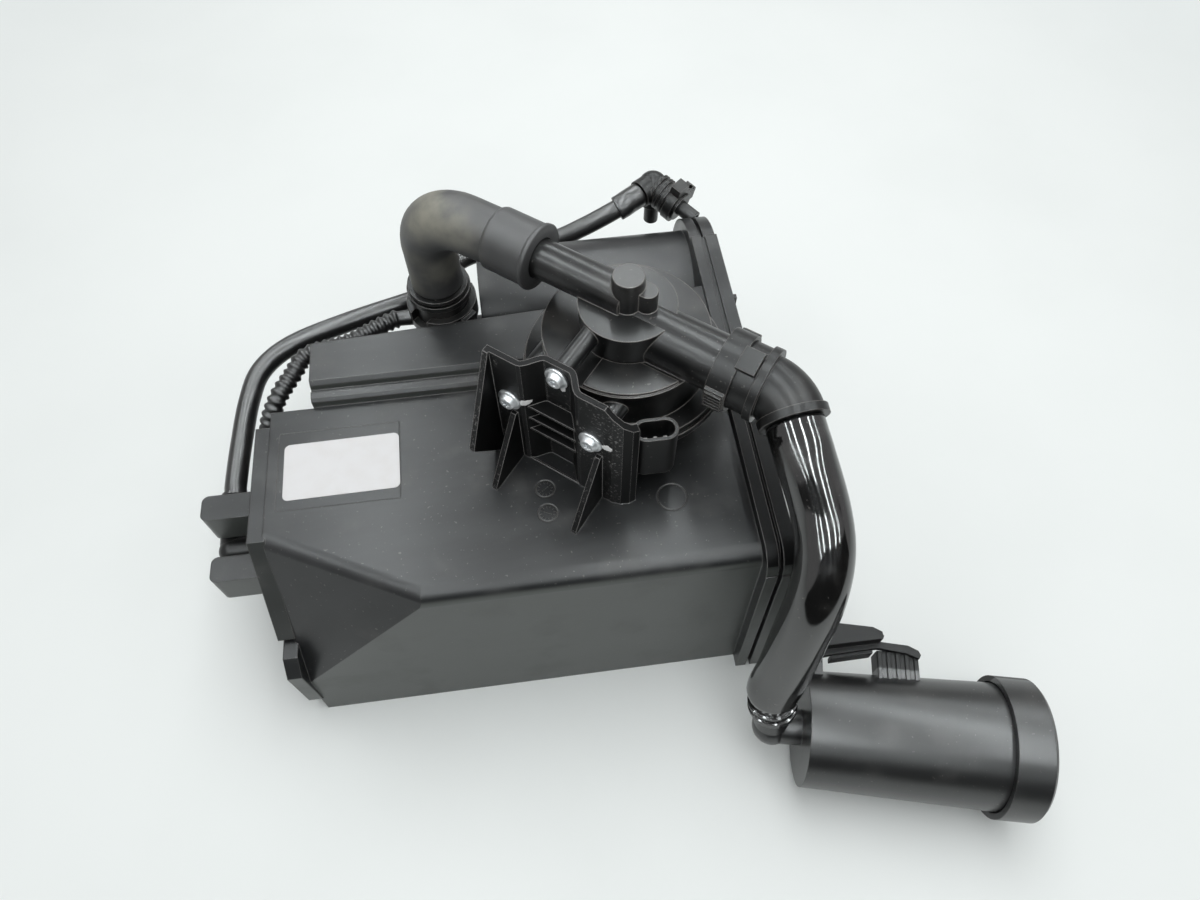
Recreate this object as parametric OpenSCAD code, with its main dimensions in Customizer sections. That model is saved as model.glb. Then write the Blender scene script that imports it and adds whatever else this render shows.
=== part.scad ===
// Charcoal canister for fuel vapour, with its leak-test pump, vent line, dust filter and purge line.
// The moulded box lies on its base. +X runs along the box to the welded end cap, +Y to the rear
// chamber and +Z up. The origin is the centre of the box's base. All sizes are in millimetres.

/* [Canister box] */
// Length of the moulded box from its left end to the weld flange
box_l = 205; // [196:1:216]
// Depth of the box at the weld flange
box_d = 146; // [140:1:152]
// Depth that the box loses towards its left end
box_draft = 12; // [6:1:16]
// Height of the label face
box_h = 108; // [102:1:116]
// Set-back of the front wall's top edge
front_lean = 6; // [3:0.5:8]
// Wall of the moulded housing
wall = 3; // [2.5:0.1:3.5]
// Round on the front top edge
front_round = 8; // [5:0.5:10]
// Height of the rear ledge above the label face
ledge_h = 9; // [7:0.5:11]
// Distance from the front of the base to the foot of the ledge
ledge_y = 105.5; // [102:0.5:110]

/* [Corner facet] */
// Length of the facet along the front top edge
facet_x = 69.5; // [55:0.5:80]
// Length of the facet along the left end
facet_y = 41; // [30:0.5:48]
// Height where the facet starts on the front left corner
facet_z = 35; // [25:1:45]
// Round between the facet and the label face
facet_round = 8; // [4:0.5:10]

/* [Rear chamber] */
// Outer radius of the rear chamber
chamber_r = 32; // [29:0.5:34]
// Length of the rear chamber
chamber_l = 107.5; // [95:0.5:115]
// Distance of the rear chamber's axis below the label face
chamber_drop = 29; // [24:1:34]
// Clear space between the box's rear wall and the chamber's bore
chamber_gap = 4; // [3.5:0.5:6]

/* [Weld flange and end cap] */
// How far the flange stands out around the box
flange_rim = 6; // [5:0.5:8]
// Thickness of the flange on the box
flange_t = 5; // [4:0.5:7]
// Width of the weld groove between the flange and the cap
groove_t = 2; // [1.5:0.5:3]
// Depth of the weld groove
groove_d = 3; // [2:0.5:4]
// Thickness of the cap's rim
cap_t = 6; // [5:0.5:8]
// Height of the ribs on the cap's outer face
cap_rib_h = 3; // [2:0.5:4]

/* [Left end] */
// Thickness of the mounting plate on the left end
plate_t = 6.5; // [5:0.5:8]
// Reach of the two plug-in lugs
lug_l = 23.5; // [18:0.5:26]
// Depth of a lug
lug_d = 12; // [10:0.5:13]
// Height of a lug
lug_h = 18; // [15:0.5:19]

/* [Pump] */
// Place of the pump's axis, right of the middle of the box
pump_x = 57; // [54:0.5:60]
// Place of the pump's axis, behind the middle of the box
pump_y = 23.5; // [22:0.5:25]
// Turn of the pump about its axis
pump_turn = -39; // [-42:1:-36]
// Radius of the pump's drum
drum_r = 35; // [33:0.5:36]
// Radius of the pump's rim
rim_r = 44; // [42:0.5:45]
// Radius of the cup on the drum
cup_r = 20; // [18:0.5:22]
// Height of the drum's top above the label face
drum_z = 49; // [47:0.5:52]
// Height of the cup above the drum
cup_h = 16; // [15:0.5:18]
// Radius of the pump's upper tube
tube_r = 8.2; // [7.5:0.1:9]
// Radius of the pump's outlet tube
outlet_r = 12; // [11:0.25:12.5]

/* [Bracket] */
// Height of the pump bracket above the label face
bracket_h = 67; // [64:0.5:70]
// Thickness of the bracket's sheet
bracket_t = 2.5; // [2:0.1:3]
// Distance of the bracket's wings from the pump's axis
wing_y = 48.5; // [47.5:0.5:50]
// Set-back of the bracket's channel
channel_d = 7.5; // [6:0.5:8]
// Reach of the bracket's fins
fin_l = 22; // [16:0.5:24]
// Radius of a screw's shank
screw_r = 2.8; // [2.4:0.1:3]
// Radius of a screw's flange
screw_head_r = 5.2; // [4.6:0.1:5.6]

/* [Lines] */
// Outer radius of the vent pipe
vent_r = 11.5; // [10.5:0.25:12]
// Wall of the vent pipe
vent_wall = 1.6; // [1.2:0.1:2]
// Outer radius of the purge line
purge_r = 5; // [4.5:0.1:5.5]
// Wall of the purge line
purge_wall = 1; // [0.8:0.1:1.3]
// Crest radius of the corrugated line
ripple_r = 4.6; // [4.2:0.1:5]
// Pitch of the corrugations
ripple_pitch = 3.6; // [3:0.1:5]
// Outer radius of the rubber elbow
elbow_r = 12; // [11.6:0.1:13]

/* [Dust filter] */
// Length of the filter's housing
filter_l = 91; // [80:1:100]
// Radius of the housing at its inlet end
filter_r0 = 25.5; // [24:0.5:27]
// Radius of the housing at its open end
filter_r1 = 28; // [26.5:0.5:29]
// Radius of the filter's cap
filter_cap_r = 31; // [30:0.5:33]
// Length of the filter's cap
filter_cap_l = 17; // [14:0.5:20]
// Turn of the filter about the vertical
filter_turn = -13; // [-18:1:-8]

/* [Label] */
// Width of the label
label_w = 50; // [40:1:54]
// Depth of the label
label_d = 28; // [22:1:32]
// Distance of the label's middle from the left end
label_left = 32.2; // [31:0.1:34]
// Distance of the label's middle from the front of the base
label_front = 73; // [68:0.5:76]

/* [Hidden] */
$fn = 64;

// Clearance between pieces that only sit in one another
clear = 0.3;
// Cord radius of an O-ring and the play in its groove
cord_r = 0.9;
cord_play = 0.1;
// Clearance of a hose or socket on its nipple
slip = 0.25;
far = 400;

// Box corners
box_x0 = -box_l / 2;
box_x1 = box_l / 2;
box_y0 = -(box_d - box_draft / 2) / 2;
notch_x = box_x0 + 19;
notch_y = box_y0 + 105;
ledge_y0 = box_y0 + ledge_y;
ledge_z = box_h + ledge_h;
facet_a = [box_x0, box_y0 + facet_y, box_h];
facet_b = [box_x0 + facet_x, box_y0 + front_lean, box_h];
facet_c = [box_x0, box_y0 + front_lean * facet_z / box_h, facet_z];
facet_n = unit(cross(facet_c - facet_a, facet_b - facet_a));

// Rear chamber
chamber_z = box_h - chamber_drop;
chamber_y = rear_y(box_x1) + chamber_gap - wall + chamber_r - wall;
chamber_x0 = box_x1 - chamber_l;

// End cap, from the weld groove outwards
cap_x0 = box_x1 + flange_t;
cap_rim_x = cap_x0 + groove_t;
cap_x1 = cap_rim_x + cap_t;
cap_in_x = cap_x1 - wall;

// Filling of the two chambers
fleece_t = 3;
plate_web = 3;
standoff = 6;
spring_l = 26;
bed_x1 = cap_in_x - spring_l - plate_web - fleece_t;
main_x0 = box_x0 + wall + standoff;
rear_x0 = chamber_x0 + wall + standoff;

// Label, the shallow field around it, and the ribs inside the left end
label_x = box_x0 + label_left;
label_y = box_y0 + label_front;
field_d = 0.4;
field_side = 1.5;
field_end = 5.5;
inner_rib_y = 26;
inner_rib_pitch = 22;

// Left end
plate_x = box_x0 - plate_t;
lug_z = [box_h - 26, box_h - 42];
lug_y = [box_y0 + 64, box_y0 + 42];

// Port of the rear chamber, with its upright nipple
port_x = chamber_x0 - 17.5;
port_y = chamber_y - 20;
port_z = chamber_z + 7;
port_r = 9.5;
port_bore = 6.5;
port_top = port_z + 34;

// Pump heights
rim_z = box_h + 24;
rim_t = 3.5;
base_z = box_h + 13;
drum_top = box_h + drum_z;
cup_top = drum_top + cup_h;
tube_z = cup_top + 2;
outlet_z = cup_top - 11;
tube_end = 58;
outlet_end = 58;
pump_wall = 2.5;

// Bracket
channel_y = wing_y - channel_d;
bracket_z1 = box_h + bracket_h;
wing_screw_z = box_h + 41;
mid_screw_z = cup_top - 5;
screw_x = [-24.5, -6, 13.5];
screw_z = [wing_screw_z, mid_screw_z, wing_screw_z];
screw_y = [wing_y, channel_y, wing_y];

// Filter
filter_z = filter_cap_r;
filter_at = [box_x1 + 17, box_y0 - 46.5, filter_z];
inlet_r = 8;
inlet_at = filter_pt(-13, 0, 0);

// Purge and corrugated ports
purge_port = [plate_x, lug_y[1] + lug_d / 2 + 7.5, box_h - 35];
purge_nipple_l = 8;
cap_port_dir = unit([-0.66, 0.72, 0.2]);
cap_port = [cap_rim_x + 3.5, chamber_y + chamber_r + 1, chamber_z + 19.5];
cap_port_l = 18;
shelf_at = [plate_x - 1, notch_y + 2, box_h - 58];
ripple_nipple = [port_x - port_r, port_y, port_top - 16];

// Plain vector and placing helpers
function unit(v) = v / norm(v);
function mix(a, b, t) = a + (b - a) * t;
function rear_y(x) = box_y0 + box_d - box_draft * (box_x1 - x) / box_l;
function pump_pt(x, y, z) =
    [pump_x + x * cos(pump_turn) - y * sin(pump_turn), pump_y + x * sin(pump_turn) + y * cos(pump_turn), z];
function filter_pt(s, y, z) =
    filter_at + [s * cos(filter_turn) - y * sin(filter_turn),
        s * sin(filter_turn) + y * cos(filter_turn), z];
// Radius of a ring of straight sides that clears a round of radius r
function around(r, sides) = r / cos(180 / sides);
function fill(count, value) = [for (i = [1:count]) value];

module at_pump() translate([pump_x, pump_y, 0]) rotate(pump_turn) children();
module at_filter() translate(filter_at) rotate(filter_turn) rotate([0, 90, 0]) children();
module yz(h) rotate([90, 0, 90]) linear_extrude(h) children();
module along(p, dir) translate(p) rotate([0, acos(dir.z / norm(dir)), atan2(dir.y, dir.x)]) children();
module in_plane(p, x, y) {
    z = cross(x, y);
    multmatrix([[x.x, y.x, z.x, p.x], [x.y, y.y, z.y, p.y], [x.z, y.z, z.z, p.z]]) children();
}
module half_space(p, n) along(p, n) translate([-far, -far, 0]) cube([2 * far, 2 * far, far]);
module ring(r_out, r_in, h) difference() {
    cylinder(r = r_out, h = h);
    translate([0, 0, -1]) cylinder(r = r_in, h = h + 2);
}
module torus(r, section) rotate_extrude() translate([r, 0]) circle(section, $fn = 24);
module rounded_rect(w, d, r) union() {
    translate([r - w / 2, -d / 2]) square([w - 2 * r, d]);
    translate([-w / 2, r - d / 2]) square([w, d - 2 * r]);
    for (sx = [-1, 1], sy = [-1, 1]) translate([sx * (w / 2 - r), sy * (d / 2 - r)]) circle(r, $fn = 32);
}

// Smooth routes: a curve through chosen points, and rings of straight sides along it
function spline_at(p, i, t) =
    let (n = len(p) - 1, a = p[max(i - 1, 0)], b = p[i], c = p[i + 1], d = p[min(i + 2, n)])
    0.5 * (2 * b + (c - a) * t + (2 * a - 5 * b + 4 * c - d) * t * t + (3 * b - a - 3 * c + d) * t * t * t);
function spline(p, steps) = concat(
    [for (i = [0:len(p) - 2], k = [0:steps - 1]) spline_at(p, i, k / steps)], [p[len(p) - 1]]);
function tangent(p, i) = unit(p[min(i + 1, len(p) - 1)] - p[max(i - 1, 0)]);
function across(v, t) = unit(v - (v * t) * t);
function sides_of(p) =
    [for (i = 0, u = across([0.13, 0.31, 0.94], tangent(p, 0)); i < len(p);
        i = i + 1, u = i < len(p) ? across(u, tangent(p, i)) : u) u];
function tube_ring(c, t, u, r, sides) =
    let (w = cross(t, u)) [for (k = [0:sides - 1]) c + r * (cos(360 * k / sides) * u + sin(360
        * k / sides) * w)];
module swept_tube(path, radii, bores, sides) {
    count = len(path);
    us = sides_of(path);
    outer = [for (i = [0:count - 1]) each tube_ring(path[i], tangent(path, i), us[i], radii[i], sides)];
    inner = [for (i = [0:count - 1]) each tube_ring(path[i], tangent(path, i), us[i], bores[i], sides)];
    shell = count * sides;
    last = shell - sides;
    walls = [for (i = [0:count - 2], k = [0:sides - 1])
        let (a = i * sides + k, b = i * sides + (k + 1) % sides)
        each [[a, a + sides, b + sides], [a, b + sides, b],
            [shell + a, shell + b + sides, shell + a + sides], [shell + a, shell + b, shell + b + sides]]];
    ends = [for (k = [0:sides - 1])
        let (m = (k + 1) % sides)
        each [[k, m, shell + m], [k, shell + m, shell + k],
            [last + k, shell + last + m, last + m], [last + k, shell + last + k, shell + last + m]]];
    polyhedron(concat(outer, inner), concat(walls, ends));
}
module coil(r, wire, h, turns) {
    sides = 6;
    steps = 14;
    count = turns * steps;
    path = [for (i = [0:count]) [r * cos(360 * i / steps), r * sin(360 * i / steps), h * i / count]];
    us = sides_of(path);
    points = [for (i = [0:count]) each tube_ring(path[i], tangent(path, i), us[i], wire, sides)];
    walls = [for (i = [0:count - 1], k = [0:sides - 1])
        let (a = i * sides + k, b = i * sides + (k + 1) % sides)
        each [[a, a + sides, b + sides], [a, b + sides, b]]];
    caps = [[for (k = [0:sides - 1]) k], [for (k = [sides - 1:-1:0]) count * sides + k]];
    polyhedron(points, concat(walls, caps));
}

// Box: plan and section, both drawn a distance d inside the outer faces
module box_plan(d, x_end) polygon([
    [box_x0 + d, box_y0 - 1], [x_end, box_y0 - 1], [x_end, rear_y(x_end) - d],
    [notch_x + d, rear_y(notch_x) - d], [notch_x + d, notch_y - d], [box_x0 + d, notch_y - d]]);
module box_section(d) {
    r = front_round - d;
    corner = [box_y0 + d + front_lean * (box_h - front_round) / box_h + r, box_h - front_round];
    difference() {
        polygon([[box_y0 + d, d], [box_y0 + front_lean + d, box_h - d], [far, box_h - d], [far, d]]);
        difference() {
            translate(corner - [2 * r, 0]) square(2 * r);
            translate(corner) circle(r);
        }
    }
    ledge_section(d);
}
module ledge_section(d) {
    y = ledge_y0 + (d > 0 ? 8 + d : 0);
    low = box_h - 2 * wall;
    if (d > 0) polygon([[y, low], [y, ledge_z - d], [far, ledge_z - d], [far, low]]);
    else polygon([[y, low], [y, box_h + 3.5], [y + 1.5, box_h + 5], [y + 4.5, box_h + 5.6],
        [y + 5, box_h + 4.6],
        [y + 6.2, box_h + 4.6], [y + 6.8, ledge_z - 2], [y + 8.6, ledge_z], [far, ledge_z], [far, low]]);
}
module box_solid(d, x_end) difference() {
    intersection() {
        linear_extrude(ledge_z + 1) box_plan(d, x_end);
        translate([box_x0 - 1, 0, 0]) yz(box_l + 40) box_section(d);
    }
    half_space(facet_a - d * facet_n, facet_n);
}
module facet_edge_round() {
    bisector = unit(facet_n + [0, 0, 1]);
    half = acos(facet_n.z) / 2;
    // The round stands this much proud, so that it crosses both faces
    proud = 0.02;
    difference() {
        half_space(facet_a - bisector * facet_round * (1 / cos(half) - cos(half)), bisector);
        along(facet_a - bisector * (facet_round / cos(half) - proud), facet_b - facet_a)
            cylinder(r = facet_round, h = far, center = true);
    }
}
module chamber_solid(r, x0, x1) translate([x0, chamber_y, chamber_z]) rotate([0, 90, 0])
    cylinder(r = r, h = x1 - x0);

// Weld flange outline in the section plane, drawn m outside the walls
module flange_outline(m) {
    corner_r = 12;
    top = box_h + m;
    front = box_y0 + front_lean - m;
    rear = rear_y(box_x1) + m;
    difference() {
        polygon([[box_y0 - m, 0], [front, top], [ledge_y0 - 8, top], [ledge_y0, ledge_z + m / 2],
            [chamber_y, ledge_z + m / 2], [chamber_y, chamber_z - chamber_r + 8],
                [rear, chamber_z - chamber_r - 4],
            [rear, 0]]);
        difference() {
            translate([front - corner_r, top - corner_r]) square([2 * corner_r, 2 * corner_r]);
            translate([front + corner_r, top - corner_r]) circle(corner_r);
            translate([front + corner_r, top - corner_r]) square(2 * corner_r);
        }
    }
    translate([chamber_y, chamber_z]) circle(chamber_r + m);
}

// Left end: mounting plate, its lower ear and the two plug-in lugs
module end_plate() {
    slope = facet_y / (box_h - facet_z);
    low = box_h - 47;
    translate([plate_x, 0, 0]) yz(plate_t + 1) polygon([
        [box_y0 + 97.5, low], [box_y0 + 97.5, box_h - 0.6], [box_y0 + facet_y, box_h - 0.6],
        [box_y0 + facet_y - slope * 47, low]]);
    translate([plate_x + 1.5, 0, 0]) yz(plate_t) polygon([
        [box_y0 + 30, 4], [box_y0 + 4, 4], [box_y0, 16], [box_y0, 50], [box_y0 + 7, 58],
            [box_y0 + 30, 58]]);
}
module lugs() {
    edge = 3;
    for (i = [0, 1])
        translate([plate_x - lug_l, lug_y[i] - lug_d / 2, lug_z[i]]) {
            translate([edge, 0, 0]) cube([lug_l - edge + 1, lug_d, lug_h]);
            translate([0, edge, 0]) cube([lug_l, lug_d - 2 * edge, lug_h]);
            for (y = [edge, lug_d - edge]) translate([edge, y, 0]) cylinder(r = edge, h = lug_h);
        }
}

// Upright nipple of the rear chamber, with the side nipple of the corrugated line
module chamber_port() {
    translate([port_x, port_y, port_z]) {
        rotate([0, 90, 0]) cylinder(r = port_r, h = chamber_x0 - port_x + 1);
        sphere(port_r);
        cylinder(r = port_r, h = port_top - port_z);
    }
    translate([port_x - port_r - 9, port_y, ripple_nipple.z]) rotate([0, 90, 0])
        cylinder(r = ripple_bore - slip, h = 11);
}
module chamber_port_bore() {
    translate([port_x, port_y, port_z]) {
        rotate([0, 90, 0]) cylinder(r = port_bore, h = chamber_x0 - port_x + wall + 1);
        sphere(port_bore);
        cylinder(r = port_bore, h = port_top - port_z + 1);
    }
    translate([port_x - port_r - 10, port_y, ripple_nipple.z]) rotate([0, 90, 0]) cylinder(r = 1.4, h = 18);
}

// Pump bracket: a folded wall with a set-back channel, three fins and three ribs across the channel
function ease(t) = t * t * (3 - 2 * t);
function s_bend(a, b) = [for (i = [0:8]) [mix(a.x, b.x, i / 8), mix(a.y, b.y, ease(i / 8))]];
channel_path = concat(
    s_bend([screw_x[0] + 5.1, -wing_y], [screw_x[1] - 5.3, -channel_y]),
    s_bend([screw_x[1] + 5.3, -channel_y], [screw_x[2] - 5.3, -wing_y]));
fold_path = concat([[-34, -wing_y]], channel_path,
    [[23, -wing_y], [26.6, -wing_y + 1], [29.2, -wing_y + 3], [30.4, -wing_y + 5.4]]);
function side_of(p, i, d) =
    let (t = unit(p[min(i + 1, len(p) - 1)] - p[max(i - 1, 0)])) p[i] + d * [-t.y, t.x];
module bracket_fold() {
    p = fold_path;
    n = len(p) - 1;
    polygon(concat([for (i = [0:n]) side_of(p, i, bracket_t / 2)],
        [for (i = [n:-1:0]) side_of(p, i, -bracket_t / 2)]));
}
module fin(x, top, tip_z, round_r) {
    y0 = -wing_y;
    translate([x + bracket_t / 2, 0, 0]) rotate([90, 0, -90]) linear_extrude(bracket_t) difference() {
        polygon([[-y0 - 0.5, box_h - 1], [-y0 - 0.5, top], [-y0 + 3, top], [-y0 + fin_l, tip_z],
            [-y0 + fin_l, box_h - 1]]);
        translate([-y0 + fin_l + 13, top + 6]) circle(round_r);
    }
}
// The outer fin stands on its foot, with its tip clear of the box
module outer_fin() {
    tip = wing_y + fin_l - 2;
    translate([bracket_t - 34, 0, 0]) rotate([90, 0, -90]) linear_extrude(bracket_t)
        polygon([[wing_y - 0.5, box_h - 1], [wing_y - 0.5, bracket_z1], [wing_y + 2, bracket_z1],
            [tip, box_h + 21.5], [tip, box_h + 20], [wing_y + 4, box_h - 1]]);
}
module bracket() at_pump() difference() {
    union() {
        difference() {
            translate([0, 0, box_h - 1]) linear_extrude(bracket_h + 1) bracket_fold();
            translate([36.5, -wing_y, bracket_z1]) rotate([0, 45, 0]) cube([24, 40, 24], center = true);
            translate([-36, -wing_y - 5, box_h]) cube([10, 10, 8]);
        }
        outer_fin();
        fin(screw_x[0] + 2, wing_screw_z - 7, box_h + 2, 24);
        fin(screw_x[2] + 4, wing_screw_z - 7, box_h + 2, 24);
        for (i = [0:2]) translate([0, 0, wing_screw_z - 18 + 8 * i])
            linear_extrude(1.2) polygon(channel_path);
        // Parting line between the feet of the wings
        translate([-19, -wing_y - 1, box_h - 1]) cube([26.8, 0.8, 1.3]);
    }
    for (i = [0:2]) translate([screw_x[i], -screw_y[i], screw_z[i]]) rotate([90, 0, 0])
        cylinder(r = screw_r + slip, h = 3 * bracket_t, center = true);
}

// Places and radii of the mould rings
mould_marks = [[box_x1 - 86, box_y0 + 50, 4.3], [box_x1 - 86, box_y0 + 38.4, 4.3],
    [box_x1 - 32.7, box_y0 + 39, 6.5]];

// Shelf at the rear left notch, with the upright nipple of the corrugated line
module line_shelf() {
    translate([shelf_at.x - 6, notch_y - 6, shelf_at.z - 6]) cube([box_x0 - shelf_at.x + 8, 15, 6]);
    translate(shelf_at) cylinder(r = ripple_bore - slip, h = 10);
}

module canister_body() color("#3c3f43") {
    difference() {
        union() {
            difference() {
                box_solid(0, box_x1);
                facet_edge_round();
            }
            chamber_solid(chamber_r, chamber_x0, box_x1);
            // Webs between the box and the chamber
            for (z = [chamber_z - 16, chamber_z + 14])
                translate([chamber_x0 + 6, rear_y(0) - 5, z])
                    cube([box_x1 - chamber_x0 - 6, chamber_y - rear_y(0) - 14, 3]);
            translate([box_x1, 0, 0]) yz(flange_t) flange_outline(flange_rim);
            end_plate();
            lugs();
            chamber_port();
            translate(purge_port - [purge_nipple_l, 0, 0]) rotate([0, 90, 0])
                cylinder(r = purge_nipple_r, h = purge_nipple_l + 1);
            line_shelf();
            bracket();
        }
        box_solid(wall, box_x1 + flange_t + 1);
        chamber_solid(chamber_r - wall, chamber_x0 + wall, box_x1 + flange_t + 1);
        chamber_port_bore();
        translate(purge_port - [purge_nipple_l + 1, 0, 0]) rotate([0, 90, 0])
            cylinder(r = purge_bore, h = purge_nipple_l + plate_t + wall + 3);
        // Shallow field that the label lies in, and three mould rings on the label face
        translate([label_x - 1.2, label_y + 0.5, box_h - field_d]) linear_extrude(2)
            rounded_rect(label_w + 2 * field_side, label_d + 2 * field_end, 1);
        for (m = mould_marks) translate([m.x, m.y, box_h - 0.3]) ring(m.z, m.z - 0.5, 1);
    }
    // Ribs that hold the inlet fleeces off the end walls
    intersection() {
        box_solid(wall - 0.5, box_x1);
        for (i = [0:3]) translate([box_x0 + 1, box_y0 + inner_rib_y + inner_rib_pitch * i, 0])
            cube([wall + standoff - 1, wall, box_h]);
    }
    for (y = [-14, 12]) translate([chamber_x0 + 1, chamber_y + y, chamber_z - 18])
        cube([wall + standoff - 1, 3, 36]);
}

module end_cap() color("#35383c") {
    difference() {
        union() {
            translate([cap_x0, 0, 0]) yz(groove_t + 1) flange_outline(flange_rim - groove_d);
            translate([cap_rim_x, 0, 0]) yz(cap_t) flange_outline(flange_rim);
            // Stiffening ribs on the outer face
            intersection() {
                translate([cap_x1 - 1, 0, 0]) yz(cap_rib_h + 1) flange_outline(-4);
                union() {
                    for (i = [0:4]) translate([cap_x1 - 1, box_y0 + 18 + 30 * i, 0])
                        cube([cap_rib_h + 2, 2.5, far]);
                    for (z = [22, 52, 84]) translate([cap_x1 - 1, box_y0, z])
                        cube([cap_rib_h + 2, far, 2.5]);
                }
            }
            along(cap_port, cap_port_dir) cylinder(r = cap_nipple_r, h = cap_port_l);
        }
        intersection() {
            translate([cap_x0 - 1, 0, 0]) yz(cap_in_x - cap_x0 + 1) flange_outline(-wall);
            translate([cap_x0 - 1, -far, wall]) cube([far, 2 * far, far]);
        }
        along(cap_port + (cap_port_l + 1) * cap_port_dir, -cap_port_dir)
            cylinder(r = cap_nipple_r - 1.5, h = cap_port_l + 9);
    }
}

// Filling of the main chamber
module main_slice(x0, x1) intersection() {
    box_solid(wall + clear, box_x1);
    translate([x0, -far, 0]) cube([x1 - x0, 2 * far, far]);
}
module main_carbon_bed() color("#1d1d1e") main_slice(main_x0 + fleece_t, bed_x1);
module main_inlet_fleece() color("#d8d6cf") main_slice(main_x0 + clear, main_x0 + fleece_t);
module main_outlet_fleece() color("#d8d6cf") main_slice(bed_x1, bed_x1 + fleece_t);
main_spring_y = [40, 100];
main_spring_at = [for (y = main_spring_y) [box_y0 + y, box_h / 2]];
main_spring_r = 14;
spring_wire = 1.4;
seat_h = 2;
module main_spring_plate() color("#5a5d60") {
    x0 = bed_x1 + fleece_t;
    difference() {
        main_slice(x0, x0 + plate_web);
        for (y = [box_y0 + 20:16:box_y0 + 132], z = [16:15:box_h - 12])
            translate([x0 - 1, y, z]) rotate([0, 90, 0]) cylinder(r = 3.5, h = plate_web + 2, $fn = 24);
    }
    for (s = main_spring_at) translate([x0 + plate_web - 0.5, s.x, s.y]) rotate([0, 90, 0])
        ring(main_spring_r - spring_wire - clear, main_spring_r - spring_wire - 4, seat_h + 0.5);
}
module chamber_spring(at, r) translate([cap_in_x - spring_l + spring_wire, at.x, at.y]) rotate([0, 90, 0])
    coil(r, spring_wire, spring_l - 2 * spring_wire, 4);
module main_springs() color("#b9bcc0") for (s = main_spring_at) chamber_spring(s, main_spring_r);

// Filling of the rear chamber
module rear_slice(x0, x1) chamber_solid(chamber_r - wall - clear, x0, x1);
module rear_carbon_bed() color("#1d1d1e") rear_slice(rear_x0 + fleece_t, bed_x1);
module rear_inlet_fleece() color("#d8d6cf") rear_slice(rear_x0 + clear, rear_x0 + fleece_t);
module rear_outlet_fleece() color("#d8d6cf") rear_slice(bed_x1, bed_x1 + fleece_t);
rear_spring_r = 16;
module rear_spring_plate() color("#5a5d60") {
    x0 = bed_x1 + fleece_t;
    difference() {
        rear_slice(x0, x0 + plate_web);
        for (a = [0:60:300], r = [9, 22])
            translate([x0 - 1, chamber_y + r * cos(a), chamber_z + r * sin(a)])
            rotate([0, 90, 0]) cylinder(r = 2.5, h = plate_web + 2, $fn = 24);
    }
    translate([x0 + plate_web - 0.5, chamber_y, chamber_z]) rotate([0, 90, 0])
        ring(rear_spring_r - spring_wire - clear, rear_spring_r - spring_wire - 3, seat_h + 0.5);
}
module rear_spring() color("#b9bcc0") chamber_spring([chamber_y, chamber_z], rear_spring_r);

// Pump: a lower dish, a cover with drum, cup and tubes, and the sealed unit inside
seal_r = rim_r - 6;
module connector_pocket() rotate(-pump_turn) translate([connector_at.x, connector_at.y, base_z - 1])
    linear_extrude(drum_top) stadium(connector_w + 2 * clear, connector_d + 2 * clear);
module rim_flat() translate([-far, -far, 0]) cube([2 * far, far - channel_y + bracket_t / 2 + 1, far]);
module pump_base() color("#17181a") at_pump() difference() {
    union() {
        translate([0, 0, base_z]) cylinder(r1 = drum_r - 3, r2 = drum_r + 1, h = rim_z - base_z);
        translate([0, 0, rim_z]) cylinder(r = rim_r, h = rim_t);
        rotate(-pump_turn) translate([connector_at.x, connector_at.y + connector_d / 2 + clear, base_z + 2])
            translate([-7, 0, 0]) cube([14, rim_r - connector_d, rim_z - base_z]);
    }
    translate([0, 0, base_z + pump_wall]) cylinder(r = drum_r - 3 - pump_wall, h = far);
    translate([0, 0, rim_z + rim_t - 1.5]) ring(seal_r + 1.2, seal_r - 1.2, 2);
    rim_flat();
    connector_pocket();
}
module pump_seal() color("#26282a") at_pump() translate([0, 0, rim_z + rim_t - 1.5 + 0.02])
    ring(seal_r + 1, seal_r - 1, 1.46);
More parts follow.
